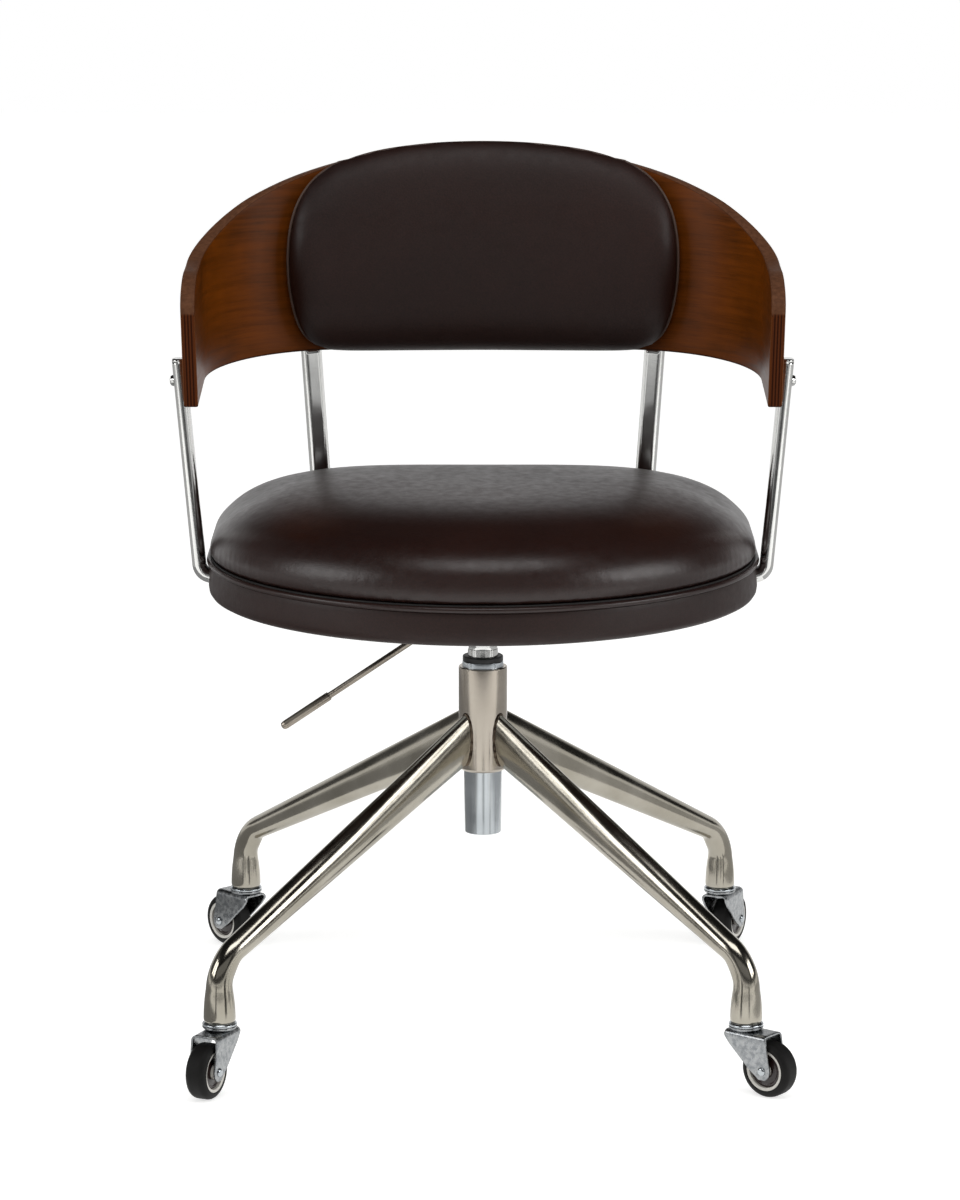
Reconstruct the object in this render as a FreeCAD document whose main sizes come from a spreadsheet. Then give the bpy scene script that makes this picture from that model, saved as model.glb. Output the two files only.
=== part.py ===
"""Office chair on a four-leg swivel base: bent plywood back, padded round seat, gas column, casters.

Frame: millimetres, +Z up, the front of the chair faces -Y, and the origin lies on the floor on the
column's axis. The seat stands at its lowest height.
"""
import FreeCAD, Part
import math
import os
import re

import Sketcher
from FreeCAD import Placement, Rotation, Vector

doc = FreeCAD.newDocument("OfficeChair")
sheet = doc.addObject("Spreadsheet::Sheet", "Sizes")

# Every driving size: name, value in millimetres or degrees, meaning.
SIZES = [
    ("wheel_diameter", 50, "caster wheel over its tyre"),
    ("wheel_width", 20, "caster wheel across its tyre"),
    ("tyre_crown", 6, "rounding of the tyre's shoulders"),
    ("rim_diameter", 37, "outside of the moulded wheel core"),
    ("rim_bore", 31.5, "inside of the core's rim"),
    ("rim_width", 18, "width of the core's rim"),
    ("web_thickness", 5, "web between the core's rim and boss"),
    ("boss_diameter", 13, "boss of the wheel core"),
    ("boss_width", 21, "boss length along the axle"),
    ("cover_thickness", 3.5, "dished cover disc on each side of the web"),
    ("axle_diameter", 5, "caster axle"),
    ("axle_head", 8, "domed heads of the caster axle"),
    ("axle_head_height", 2.2, "height of those heads"),
    ("wheel_clearance", 1.2, "between the wheel and each fork cheek"),
    ("fork_thickness", 2, "sheet of the fork's cheeks"),
    ("fork_plate_z", 54.5, "underside of the fork's top plate"),
    ("fork_plate_thickness", 2.5, "top plate of the fork"),
    ("fork_back", 14.5, "top plate behind the swivel axis"),
    ("fork_front", 29.5, "top plate in front of the swivel axis"),
    ("fork_eye", 8, "radius of the cheek round the axle"),
    ("caster_trail", 26, "axle behind the swivel axis"),
    ("race_diameter", 31, "pressed ball races of the swivel"),
    ("race_height", 3.4, "height of each race"),
    ("race_gap", 0.3, "between the two races"),
    ("stem_diameter", 11, "caster stem"),
    ("stem_insert", 20, "stem inside the socket"),
    ("rivet_diameter", 14, "riveted lower end of the stem"),
    ("rivet_height", 2.4, "height of the riveted end"),
    ("caster_spread", 233.5, "swivel axes from the column axis, along X and along Y"),
    ("trail_front_left", -114.5, "direction of the front left wheel from its swivel axis"),
    ("trail_front_right", -38, "direction of the front right wheel"),
    ("trail_rear_left", 134, "direction of the rear left wheel"),
    ("trail_rear_right", 65, "direction of the rear right wheel"),
    ("socket_wall", 0.5, "rim left between the foot's bore and the socket's flange"),
    ("socket_depth", 22, "socket in the foot"),
    ("socket_bore", 22, "bore of the foot that takes the socket"),
    ("leg_wall", 1.8, "wall of the leg tube"),
    ("leg_hub_height", 43, "flattened tube at the hub, upright"),
    ("leg_hub_width", 14, "flattened tube at the hub, across"),
    ("leg_middle_width", 22, "tube across at the middle of the leg"),
    ("leg_bend_height", 20.8, "tube upright where the bend starts"),
    ("leg_hub_z", 269, "middle of the tube where it meets the hub"),
    ("leg_slope", 26.3, "fall of the leg, degrees"),
    ("leg_bend_radius", 14, "middle line of the bend above the foot"),
    ("leg_neck_diameter", 21.5, "round neck under the bend"),
    ("leg_foot_diameter", 28.7, "swollen foot"),
    ("leg_foot_rim", 0.6, "rounding at the foot's lower rim"),
    ("hub_diameter", 45, "hub sleeve"),
    ("hub_bottom_z", 238, "lower end of the hub sleeve"),
    ("hub_top_z", 336, "upper end of the hub sleeve"),
    ("hub_chamfer", 2.5, "chamfer at the hub's lower end"),
    ("column_bottom_z", 178.5, "lower end of the column tube"),
    ("column_top_z", 341, "upper end of the column tube"),
    ("column_bottom_diameter", 34, "column tube at its lower end"),
    ("column_top_diameter", 38.8, "column tube at its upper end"),
    ("column_bore", 31.2, "bore of the column tube"),
    ("column_floor_z", 184, "underside of the column's floor"),
    ("column_floor", 3, "thickness of the column's floor"),
    ("bush_flange", 37.5, "flange of the guide bush"),
    ("bush_flange_height", 5, "flange height of the guide bush"),
    ("bush_length", 46, "guide bush inside the column tube"),
    ("cylinder_diameter", 28, "gas cylinder"),
    ("cylinder_wall", 2, "wall of the gas cylinder"),
    ("cylinder_cap", 4, "lower cap of the gas cylinder"),
    ("cylinder_shoulder_z", 362, "start of the cylinder's mounting taper"),
    ("cylinder_top_z", 396, "upper end of the cylinder"),
    ("cylinder_top_diameter", 26, "small end of the mounting taper"),
    ("chamber_top_z", 370, "top of the gas chamber"),
    ("groove_z", 352.5, "lower edge of the ring groove"),
    ("groove_width", 3, "width of the ring groove"),
    ("groove_depth", 0.8, "depth of the ring groove"),
    ("rod_diameter", 10, "piston rod"),
    ("rod_top_z", 305, "top of the piston"),
    ("piston_height", 8, "height of the piston"),
    ("shoulder_diameter", 15, "rod shoulder that stands on the bearing"),
    ("shoulder_height", 6, "height of the rod shoulder"),
    ("rod_tail", 4.5, "rod end below the column's floor"),
    ("clip_diameter", 17, "retaining clip"),
    ("clip_thickness", 1.2, "retaining clip"),
    ("clip_groove", 0.8, "depth of the clip's groove in the rod"),
    ("washer_diameter", 28, "bearing washers"),
    ("washer_thickness", 1.5, "bearing washers"),
    ("ball_diameter", 4, "bearing balls"),
    ("ball_circle", 20, "circle of the balls' centres"),
    ("ball_count", 8, "number of bearing balls"),
    ("buffer_diameter", 22, "rubber buffer"),
    ("buffer_height", 14, "rubber buffer"),
    ("release_diameter", 6, "release pin"),
    ("release_length", 20, "release pin"),
    ("release_height", 5, "release pin above the cylinder"),
    ("socket_tube", 38, "outside of the taper socket"),
    ("socket_bottom_z", 364, "lower end of the taper socket"),
    ("bracket_web_z", 389, "underside of the bracket's web, on the socket"),
    ("bracket_sheet", 3, "sheet of the bracket and of the mounting plate"),
    ("bracket_width", 46, "bracket over its cheeks"),
    ("bracket_length", 72, "bracket along X"),
    ("web_edge", 20, "web's edge left of the column axis, beside the lever"),
    ("plate_side", 150, "square mounting plate"),
    ("plate_bolt_pitch", 120, "square pattern of the plate's bolts"),
    ("bolt_diameter", 6, "plate bolts and back screws"),
    ("bolt_head", 11, "heads of the plate bolts and back screws"),
    ("bolt_head_height", 3.6, "heads of the plate bolts and back screws"),
    ("bolt_grip", 9, "plate bolt inside the seat board"),
    ("nut_barrel", 8.5, "barrel of the tee nuts and of the inserts"),
    ("nut_flange", 18, "flange of the tee nuts"),
    ("nut_flange_height", 1.2, "flange of the tee nuts"),
    ("pivot_x", -28, "lever's pivot pin"),
    ("pivot_diameter", 5, "lever's pivot pin"),
    ("pivot_head", 9, "heads of the pivot pin"),
    ("pivot_head_height", 1.6, "heads of the pivot pin"),
    ("tongue_width", 12, "stamped tongue of the lever"),
    ("nose_gap", 0.2, "between the tongue's nose and the release pin"),
    ("lever_diameter", 6, "lever rod"),
    ("lever_start_x", -30, "inner end of the lever rod"),
    ("lever_start_z", 383, "inner end of the lever rod"),
    ("lever_slope", 34, "fall of the lever, degrees"),
    ("lever_length", 188.5, "lever rod with the end of its grip"),
    ("grip_diameter", 8.2, "grip sleeve"),
    ("grip_length", 54, "grip sleeve"),
    ("grip_end", 3, "closed end of the grip"),
    ("seat_half_width", 252, "seat's outline, half its width"),
    ("seat_centre_y", 10, "centre of the seat's round front"),
    ("seat_rear_y", 198, "rear edge of the seat"),
    ("seat_corner", 110, "rear corners of the seat"),
    ("board_z", 428, "underside of the seat board"),
    ("board_thickness", 12, "seat board"),
    ("band_skin", 3.2, "leather and foam round the board's edge"),
    ("band_drop", 25, "lower edge of the leather band under the board"),
    ("band_rise", 6, "upper edge of the leather band above the board's underside"),
    ("apron_width", 17, "apron under the board, with its leather"),
    ("band_curl", 11, "rounding of the band's lower edge"),
    ("piping_diameter", 5.5, "piping round the seat"),
    ("piping_inset", 0.3, "piping's middle line inside the seat's outline"),
    ("cushion_rise", 60, "seat cushion above the board"),
    ("cushion_tuck", 3.2, "cushion's foot inside the outline"),
    ("cushion_side", 130, "run of the crown at the front and sides"),
    ("cushion_back", 95, "run of the crown at the rear"),
    ("post_width", 20, "oval post tube, broad way"),
    ("post_depth", 12.5, "oval post tube, narrow way"),
    ("post_wall", 1.5, "wall of the post tube"),
    ("post_bend", 12, "middle line of the post's bend"),
    ("arm_post_y", -5, "arm posts"),
    ("arm_post_start", 100, "inner end of an arm post, from the middle"),
    ("arm_post_reach", 15.7, "outer face of an arm post beyond the seat's side, at its foot"),
    ("arm_post_lean", 5, "arm posts lean outwards, degrees"),
    ("arm_post_rise", 38, "top of the arm posts above the shell's lower edge"),
    ("rear_post_angle", 75, "rear posts stand out from the shell's corner centre, degrees from X"),
    ("rear_post_start", 30, "inner end of a rear post, from the shell's corner centre"),
    ("rear_post_foot", 150.5, "outer face of a rear post at the seat, from the corner centre"),
    ("rear_post_lean", 1.46, "rear posts lean outwards, degrees"),
    ("rear_post_roll", 3.6, "rear posts close in towards the seat, degrees"),
    ("rear_post_rise", 57, "top of the rear posts above the shell's lower edge"),
    ("arm_post_drop", 0, "arm posts' runs below the seat board"),
    ("rear_post_drop", 1.1, "rear posts' runs below the seat board, before they roll against it"),
    ("post_cap", 2, "end cap of a post"),
    ("seat_screw_diameter", 4.5, "screws from the posts into the board"),
    ("seat_screw_head", 9, "heads of those screws"),
    ("seat_screw_head_height", 2.4, "heads of those screws"),
    ("seat_screw_grip", 9, "those screws inside the board"),
    ("seat_screw_inset", 16, "outer screw and inner screw from the ends of the run"),
    ("back_screw_length", 19, "back screws under their heads"),
    ("insert_length", 9, "threaded inserts in the shell"),
    ("back_screw_drop", 18, "back screws below the top of a post"),
    ("shell_side_room", 6.7, "inside of the shell beyond the seat's side, at the reference height"),
    ("shell_rear_y", 199, "inside of the shell's rear at its reference height"),
    ("shell_corner", 130, "inside radius of the shell's corners"),
    ("shell_thickness", 13, "bent plywood"),
    ("shell_reference_rise", 17, "height above the shell's lower edge at which its plan is given"),
    ("shell_flare", 1.5, "sides lean outwards, degrees"),
    ("shell_lean", 4.9, "rear leans backwards, degrees"),
    ("shell_front_y", -36, "front ends of the arms"),
    ("shell_bottom_z", 583, "lower edge at the arms' ends"),
    ("shell_bottom_rise", 4.4, "lower edge climbs to the rear, degrees"),
    ("shell_height", 215, "upper edge at the middle of the back, above the arms' lower edge"),
    ("pad_side_room", 71.7, "shell's side beyond the side of the back pad"),
    ("pad_rise", 22, "lower edge of the back pad above the shell's lower edge"),
    ("pad_height", 194, "back pad"),
    ("pad_thickness", 33, "back pad with its board"),
    ("pad_board", 4, "board inside the back pad"),
    ("pad_board_margin", 22, "board inside the pad's outline"),
    ("pad_screw_x", 80, "pad screws from the middle"),
    ("pad_screw_low", 35, "lower pad screws above the pad's lower edge"),
    ("pad_screw_high", 140, "upper pad screws above the pad's lower edge"),
    ("pad_screw_diameter", 4, "pad screws"),
    ("pad_screw_head", 9, "heads of the pad screws"),
    ("pad_screw_head_height", 2.4, "heads of the pad screws"),
    ("running_gap", 0.05, "radial play of what turns or slides in a bore"),
    ("press_gap", 0.02, "radial allowance of what is pushed into a bore"),
    ("soft_gap", 0.3, "between a soft piece and what it rests on"),
    ("screw_play", 0.3, "radial play of a screw in its clearance hole"),
]

for row, (alias, amount, meaning) in enumerate(SIZES, 1):
    sheet.set(f"A{row}", alias)
    sheet.set(f"B{row}", str(amount))
    sheet.setAlias(f"B{row}", alias)
    sheet.set(f"C{row}", meaning)
doc.recompute()

ALIASES = {alias for alias, amount, meaning in SIZES}
UP = Vector(0, 0, 1)
PARTS = []


def bound(text):
    """Write a formula of size names as an expression on the sheet."""
    return re.sub(r"[a-z][a-z_]+", lambda word: "Sizes." + word[0] if word[0] in ALIASES else word[0], text)


def size(text):
    """Value of a formula of size names."""
    return float(sheet.evalExpression(bound(text)))


LOWEST, HIGHEST = size("0 - wheel_diameter"), size("2 * shell_bottom_z")


def new_body(label, exported=True):
    """Start a body with this label."""
    body = doc.addObject("PartDesign::Body", "Body_" + label)
    body.Label = label
    if exported:
        PARTS.append(body)
    return body


def attached_sketch(body, plane, offset="0"):
    """Add an empty sketch on one of the body's own origin planes, a formula away from it."""
    sketch = body.newObject("Sketcher::SketchObject", "Sketch")
    support = next(item for item in body.Origin.OriginFeatures if item.Role == plane + "_Plane")
    sketch.AttachmentSupport = [(support, "")]
    sketch.MapMode = "FlatFace"
    sketch.setExpression(".AttachmentOffset.Base.z", bound(offset))
    return sketch


def fix_point(sketch, geometry, point, x, y):
    """Hold a point of the sketch at two formulas from its origin."""
    for kind, formula in (("DistanceX", x), ("DistanceY", y)):
        index = sketch.addConstraint(
            Sketcher.Constraint(kind, -1, 1, geometry, point, size(formula)))
        sketch.setExpression(f"Constraints[{index}]", bound(formula))


def outline_sketch(body, plane, corners, offset="0"):
    """Closed sketch of straight edges; each corner is a pair of formulas."""
    sketch = attached_sketch(body, plane, offset)
    points = [Vector(size(x), size(y), 0) for x, y in corners]
    for start, end in zip(points, points[1:] + points[:1]):
        sketch.addGeometry(Part.LineSegment(start, end), False)
    for index in range(len(points)):
        following = (index + 1) % len(points)
        sketch.addConstraint(Sketcher.Constraint("Coincident", index, 2, following, 1))
    for index, (x, y) in enumerate(corners):
        fix_point(sketch, index, 1, x, y)
    return sketch


def disc_sketch(body, plane, discs, offset="0"):
    """Sketch of circles; each is (x, y, diameter) in formulas."""
    sketch = attached_sketch(body, plane, offset)
    for index, (x, y, diameter) in enumerate(discs):
        centre = Vector(size(x), size(y), 0)
        sketch.addGeometry(Part.Circle(centre, UP, size(diameter) / 2), False)
        fix_point(sketch, index, 3, x, y)
        fixed = sketch.addConstraint(Sketcher.Constraint("Diameter", index, size(diameter)))
        sketch.setExpression(f"Constraints[{fixed}]", bound(diameter))
    return sketch


def pad(body, sketch, length, both_ways=False):
    """Pad the sketch by a formula, to both sides of its plane where asked."""
    feature = body.newObject("PartDesign::Pad", "Pad")
    feature.Profile = sketch
    feature.SideType = "Symmetric" if both_ways else "One side"
    feature.setExpression("Length", bound(length))
    return feature


def cut_through(body, sketch):
    """Cut the sketch through the whole body, both ways."""
    feature = body.newObject("PartDesign::Pocket", "Cut")
    feature.Profile = sketch
    feature.Type = "ThroughAll"
    feature.SideType = "Symmetric"
    return feature


def turned(label, corners, exported=True):
    """Body turned round Z from a closed outline of (radius, height) formulas."""
    body = new_body(label, exported)
    turn = body.newObject("PartDesign::Revolution", "Turn")
    turn.Profile = outline_sketch(body, "XZ", corners)
    turn.ReferenceAxis = (turn.Profile[0], ["V_Axis"])
    turn.Angle = 360
    return body


def ring(label, inner, outer, bottom, top, exported=True):
    """Plain turned ring; its radii and heights are formulas."""
    corners = [(inner, bottom), (outer, bottom), (outer, top), (inner, top)]
    return turned(label, corners, exported)


def round_off(body, choose, radius):
    """Fillet the edges of the body's last feature that choose(edge) picks."""
    doc.recompute()
    base = body.Tip
    names = [f"Edge{index}" for index, edge in enumerate(base.Shape.Edges, 1) if choose(edge)]
    fillet = body.newObject("PartDesign::Fillet", "Round")
    fillet.Base = (base, names)
    fillet.setExpression("Radius", bound(radius))
    return fillet


def solid(label, shape, placement=None):
    """Piece whose shape is worked out in this file."""
    feature = doc.addObject("Part::Feature", "Piece_" + label)
    feature.Label = label
    feature.Shape = shape
    if placement is not None:
        feature.Placement = placement
    PARTS.append(feature)
    return feature


def copies(body, placements):
    """Copies of a body's shape at the placements."""
    doc.recompute()
    made = []
    for place in placements:
        shape = body.Shape.copy()
        shape.Placement = place.multiply(shape.Placement)
        made.append(shape)
    return made


def group(label, shapes):
    """One node that holds several like solids."""
    return solid(label, Part.makeCompound(shapes))


def turned_about(axis, degrees, point=Vector(0, 0, 0)):
    """Placement that turns a piece about an axis through a point."""
    return Placement(Vector(0, 0, 0), Rotation(axis, degrees), point)


# Casters: swivel axes and the directions that the wheels trail in.
SPREAD = size("caster_spread")
CORNERS = {
    "front_left": (-SPREAD, -SPREAD),
    "front_right": (SPREAD, -SPREAD),
    "rear_left": (-SPREAD, SPREAD),
    "rear_right": (SPREAD, SPREAD),
}
LOWER_RACE_TOP = "(fork_plate_z + fork_plate_thickness + race_height)"
FOOT_Z = "(" + LOWER_RACE_TOP + " + race_gap + race_height)"


def caster_fork(label):
    """Pressed fork: top plate with its race, and two cheeks down to the axle."""
    body = new_body(label)
    plate_top = "fork_plate_z + fork_plate_thickness"
    cheek = [
        ("0 - fork_back", plate_top),
        ("0 - fork_back - 1", "fork_plate_z - 3"),
        ("0 - fork_back + 6", "fork_plate_z - 13"),
        ("caster_trail - fork_eye * 0.98", "wheel_diameter / 2 - fork_eye * 0.5"),
        ("caster_trail - fork_eye * 0.6", "wheel_diameter / 2 - fork_eye * 0.85"),
        ("caster_trail", "wheel_diameter / 2 - fork_eye"),
        ("caster_trail + fork_eye * 0.6", "wheel_diameter / 2 - fork_eye * 0.8"),
        ("caster_trail + fork_eye * 0.9", "wheel_diameter / 2 - fork_eye * 0.3"),
        ("fork_front", plate_top),
    ]
    inside = "wheel_width + 2 * wheel_clearance"
    pad(body, outline_sketch(body, "XZ", cheek), inside + " + 2 * fork_thickness", both_ways=True)
    channel = [
        ("0 - (" + inside + ") / 2", "0"),
        ("(" + inside + ") / 2", "0"),
        ("(" + inside + ") / 2", "fork_plate_z"),
        ("0 - (" + inside + ") / 2", "fork_plate_z"),
    ]
    cut_through(body, outline_sketch(body, "YZ", channel))
    pad(body, disc_sketch(body, "XY", [("0", "0", "race_diameter")], plate_top), "race_height")
    cut_through(body, disc_sketch(body, "XY", [("0", "0", "stem_diameter + 2 * running_gap")]))
    axle_hole = [("caster_trail", "wheel_diameter / 2", "axle_diameter + 2 * press_gap")]
    cut_through(body, disc_sketch(body, "XZ", axle_hole))
    return body


def axle_rivet(label):
    """Axle riveted over with a domed head at both ends, outside the cheeks."""
    outside = "wheel_width / 2 + wheel_clearance + fork_thickness"
    upper = [
        ("axle_diameter / 2", outside),
        ("axle_head / 2", outside),
        ("axle_head / 2", outside + " + axle_head_height * 0.45"),
        ("axle_head / 3", outside + " + axle_head_height"),
        ("0", outside + " + axle_head_height"),
    ]
    lower = [(radius, "0 - (" + height + ")") for radius, height in upper]
    return turned(label, lower[::-1] + upper)


def caster_wheel(corner):
    """Tyre, core and cover discs of one wheel, about the local Z axis."""
    tyre = ring("caster_tyre_" + corner, "rim_diameter / 2", "wheel_diameter / 2",
                "0 - wheel_width / 2", "wheel_width / 2")
    outer = size("wheel_diameter / 2")
    round_off(tyre, lambda edge: abs(edge.Curve.Radius - outer) < 0.01
              if hasattr(edge.Curve, "Radius") else False, "tyre_crown")
    core = turned("caster_core_" + corner, [
        ("axle_diameter / 2 + running_gap", "0 - boss_width / 2"),
        ("boss_diameter / 2", "0 - boss_width / 2"),
        ("boss_diameter / 2", "0 - web_thickness / 2"),
        ("rim_bore / 2", "0 - web_thickness / 2"),
        ("rim_bore / 2", "0 - rim_width / 2"),
        ("rim_diameter / 2 - press_gap", "0 - rim_width / 2"),
        ("rim_diameter / 2 - press_gap", "rim_width / 2"),
        ("rim_bore / 2", "rim_width / 2"),
        ("rim_bore / 2", "web_thickness / 2"),
        ("boss_diameter / 2", "web_thickness / 2"),
        ("boss_diameter / 2", "boss_width / 2"),
        ("axle_diameter / 2 + running_gap", "boss_width / 2"),
    ])
    disc = ring("cover_pattern_" + corner, "boss_diameter / 2 + press_gap", "rim_bore / 2 - press_gap",
                "web_thickness / 2", "web_thickness / 2 + cover_thickness", exported=False)
    doc.recompute()
    flip = turned_about(Vector(1, 0, 0), 180)
    cover = group("caster_cover_" + corner, copies(disc, [Placement(), flip]))
    return [tyre, core, cover]


def place_caster(corner, trail):
    """Make one caster and set it under its foot, trailing in its own direction."""
    x, y = CORNERS[corner]
    swivel = Placement(Vector(x, y, 0), Rotation(UP, size(trail)))
    axle = Placement(Vector(size("caster_trail"), 0, size("wheel_diameter / 2")),
                     Rotation(Vector(1, 0, 0), 90))
    caster_fork("caster_fork_" + corner).Placement = swivel
    for piece in [axle_rivet("caster_axle_" + corner)] + caster_wheel(corner):
        piece.Placement = swivel.multiply(axle)


for corner_name in CORNERS:
    place_caster(corner_name, "trail_" + corner_name)

stem_pattern = turned("stem_pattern", [
    ("0", "fork_plate_z - 0.1 - rivet_height"),
    ("rivet_diameter / 2 - 1", "fork_plate_z - 0.1 - rivet_height"),
    ("rivet_diameter / 2", "fork_plate_z - 1.1"),
    ("rivet_diameter / 2", "fork_plate_z - 0.1"),
    ("stem_diameter / 2", "fork_plate_z - 0.1"),
    ("stem_diameter / 2", LOWER_RACE_TOP + " + race_gap"),
    ("race_diameter / 2", LOWER_RACE_TOP + " + race_gap"),
    ("race_diameter / 2", FOOT_Z + " - 0.8"),
    ("race_diameter / 2 - 0.8", FOOT_Z),
    ("stem_diameter / 2", FOOT_Z),
    ("stem_diameter / 2", FOOT_Z + " + stem_insert - 1"),
    ("stem_diameter / 2 - 1", FOOT_Z + " + stem_insert"),
    ("0", FOOT_Z + " + stem_insert"),
], exported=False)
socket_pattern = turned("socket_pattern", [
    ("stem_diameter / 2 + press_gap", FOOT_Z + " + socket_wall"),
    ("socket_bore / 2 - press_gap", FOOT_Z + " + socket_wall"),
    ("socket_bore / 2 - press_gap", FOOT_Z + " + socket_depth"),
    ("0", FOOT_Z + " + socket_depth"),
    ("0", FOOT_Z + " + stem_insert + running_gap"),
    ("stem_diameter / 2 + press_gap", FOOT_Z + " + stem_insert + running_gap"),
], exported=False)
UNDER_FEET = [Placement(Vector(x, y, 0), Rotation()) for x, y in CORNERS.values()]
group("caster_stems", copies(stem_pattern, UNDER_FEET))
group("caster_sockets", copies(socket_pattern, UNDER_FEET))


def oval_wire(radius, height, fall, upright, across):
    """Closed oval square to the leg's path, given its distance out, height and half sizes."""
    rising = Vector(math.sin(fall), 0, math.cos(fall)) * upright
    sideways = Vector(0, across, 0)
    points = []
    for step in range(16):
        angle = math.tau * step / 16
        points.append(Vector(radius, 0, height) + rising * math.cos(angle) + sideways * math.sin(angle))
    closed = Part.BSplineCurve()
    closed.interpolate(points, PeriodicFlag=True)
    return Part.Wire(closed.toShape())


def leg_form(wall):
    """Leg from the hub to the foot, each section smaller by the wall."""
    reach = math.hypot(SPREAD, SPREAD)
    slope = math.radians(size("leg_slope"))
    bend = size("leg_bend_radius")
    hub = size("hub_diameter / 2")
    straight_end = reach - bend * math.tan((math.pi / 2 - slope) / 2) * math.cos(slope)
    sections = []
    for share in (-0.06, 0.1, 0.25, 0.5, 0.75, 1):
        radius = hub + (straight_end - hub) * share
        height = size("leg_hub_z") - (radius - hub) * math.tan(slope)
        upright = size("leg_hub_height") + (size("leg_bend_height") - size("leg_hub_height")) * share
        spread = min(1, max(0, share) / 0.5)
        across = size("leg_hub_width") + (size("leg_middle_width") - size("leg_hub_width")) * spread
        sections.append((radius, height, slope, upright, across))
    end_z = size("leg_hub_z") - (straight_end - hub) * math.tan(slope)
    centre_x = straight_end - bend * math.sin(slope)
    centre_z = end_z - bend * math.cos(slope)
    neck = size("leg_neck_diameter")
    for share in (0.2, 0.4, 0.6, 0.8, 1):
        fall = slope + (math.pi / 2 - slope) * share
        upright = size("leg_bend_height") + (neck - size("leg_bend_height")) * share
        across = size("leg_middle_width") + (neck - size("leg_middle_width")) * share
        sections.append((centre_x + bend * math.sin(fall), centre_z + bend * math.cos(fall),
                         fall, upright, across))
    neck_z = sections[-1][1]
    foot_z = size(FOOT_Z)
    foot = size("leg_foot_diameter")
    for share, swelling in ((0.16, 0), (0.43, 0.4), (0.71, 0.81), (0.91, 1)):
        diameter = neck + (foot - neck) * swelling
        height = neck_z + (foot_z - neck_z) * share
        sections.append((reach, height, math.pi / 2, diameter, diameter))
    rim = size("leg_foot_rim")
    sections.append((reach, foot_z, math.pi / 2, foot - 2 * rim, foot - 2 * rim))
    wires = [oval_wire(r, z, fall, up / 2 - wall, across / 2 - wall)
             for r, z, fall, up, across in sections]
    return Part.makeLoft(wires, True, True)


def leg_shape():
    """Tapered, flattened leg tube: cut to the hub, open at the foot for the caster's socket."""
    reach = math.hypot(SPREAD, SPREAD)
    foot_z = size(FOOT_Z)
    hollow = leg_form(size("leg_wall"))
    solid_foot = Part.makeCylinder(size("leg_foot_diameter"), size("socket_depth"), Vector(reach, 0, foot_z))
    hollow = hollow.cut(solid_foot)
    socket = Part.makeCylinder(size("socket_bore / 2"), size("socket_depth + leg_wall"),
                               Vector(reach, 0, foot_z))
    hub = Part.makeCylinder(size("hub_diameter / 2"), HIGHEST, Vector(0, 0, LOWEST))
    return leg_form(0).cut(hollow).cut(socket).cut(hub)


leg = leg_shape()
for corner_name, (x, y) in CORNERS.items():
    heading = math.degrees(math.atan2(y, x))
    solid("leg_" + corner_name, leg.copy(), turned_about(UP, heading))

# Hub and gas column, all turned about the column's axis.
def column_radius(z):
    """Formula of the column tube's outside radius at a height."""
    return ("(column_bottom_diameter / 2 + (column_top_diameter - column_bottom_diameter) / 2"
            f" * ({z} - column_bottom_z) / (column_top_z - column_bottom_z))")


turned("hub_sleeve", [
    (column_radius("hub_bottom_z") + " + press_gap", "hub_bottom_z"),
    ("hub_diameter / 2 - hub_chamfer", "hub_bottom_z"),
    ("hub_diameter / 2", "hub_bottom_z + hub_chamfer"),
    ("hub_diameter / 2", "hub_top_z"),
    (column_radius("hub_top_z") + " + press_gap", "hub_top_z"),
])
FLOOR_TOP = "(column_floor_z + column_floor)"
turned("column_tube", [
    ("column_bore / 2", "column_bottom_z"),
    ("column_bottom_diameter / 2", "column_bottom_z"),
    ("column_top_diameter / 2", "column_top_z"),
    ("column_bore / 2", "column_top_z"),
    ("column_bore / 2", FLOOR_TOP),
    ("rod_diameter / 2 + running_gap", FLOOR_TOP),
    ("rod_diameter / 2 + running_gap", "column_floor_z"),
    ("column_bore / 2", "column_floor_z"),
])
turned("guide_bush", [
    ("cylinder_diameter / 2 + running_gap", "column_top_z - bush_length"),
    ("column_bore / 2 - press_gap", "column_top_z - bush_length"),
    ("column_bore / 2 - press_gap", "column_top_z"),
    ("bush_flange / 2", "column_top_z"),
    ("bush_flange / 2", "column_top_z + bush_flange_height - 1"),
    ("bush_flange / 2 - 1", "column_top_z + bush_flange_height"),
    ("cylinder_diameter / 2 + running_gap", "column_top_z + bush_flange_height"),
])
LOWER_WASHER_Z = "(" + FLOOR_TOP + " + running_gap)"
BALL_BOTTOM = "(" + LOWER_WASHER_Z + " + washer_thickness)"
UPPER_WASHER_Z = "(" + BALL_BOTTOM + " + ball_diameter)"
SHOULDER_Z = "(" + UPPER_WASHER_Z + " + washer_thickness)"
BUFFER_Z = "(" + SHOULDER_Z + " + shoulder_height)"
CYLINDER_Z = "(" + BUFFER_Z + " + buffer_height + soft_gap)"
CLIP_TOP = "(column_floor_z - running_gap)"
lower_washer = ring("lower_washer_pattern", "rod_diameter / 2 + press_gap", "washer_diameter / 2",
                    LOWER_WASHER_Z, BALL_BOTTOM, exported=False)
upper_washer = ring("upper_washer_pattern", "rod_diameter / 2 + press_gap", "washer_diameter / 2",
                    UPPER_WASHER_Z, SHOULDER_Z, exported=False)
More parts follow.
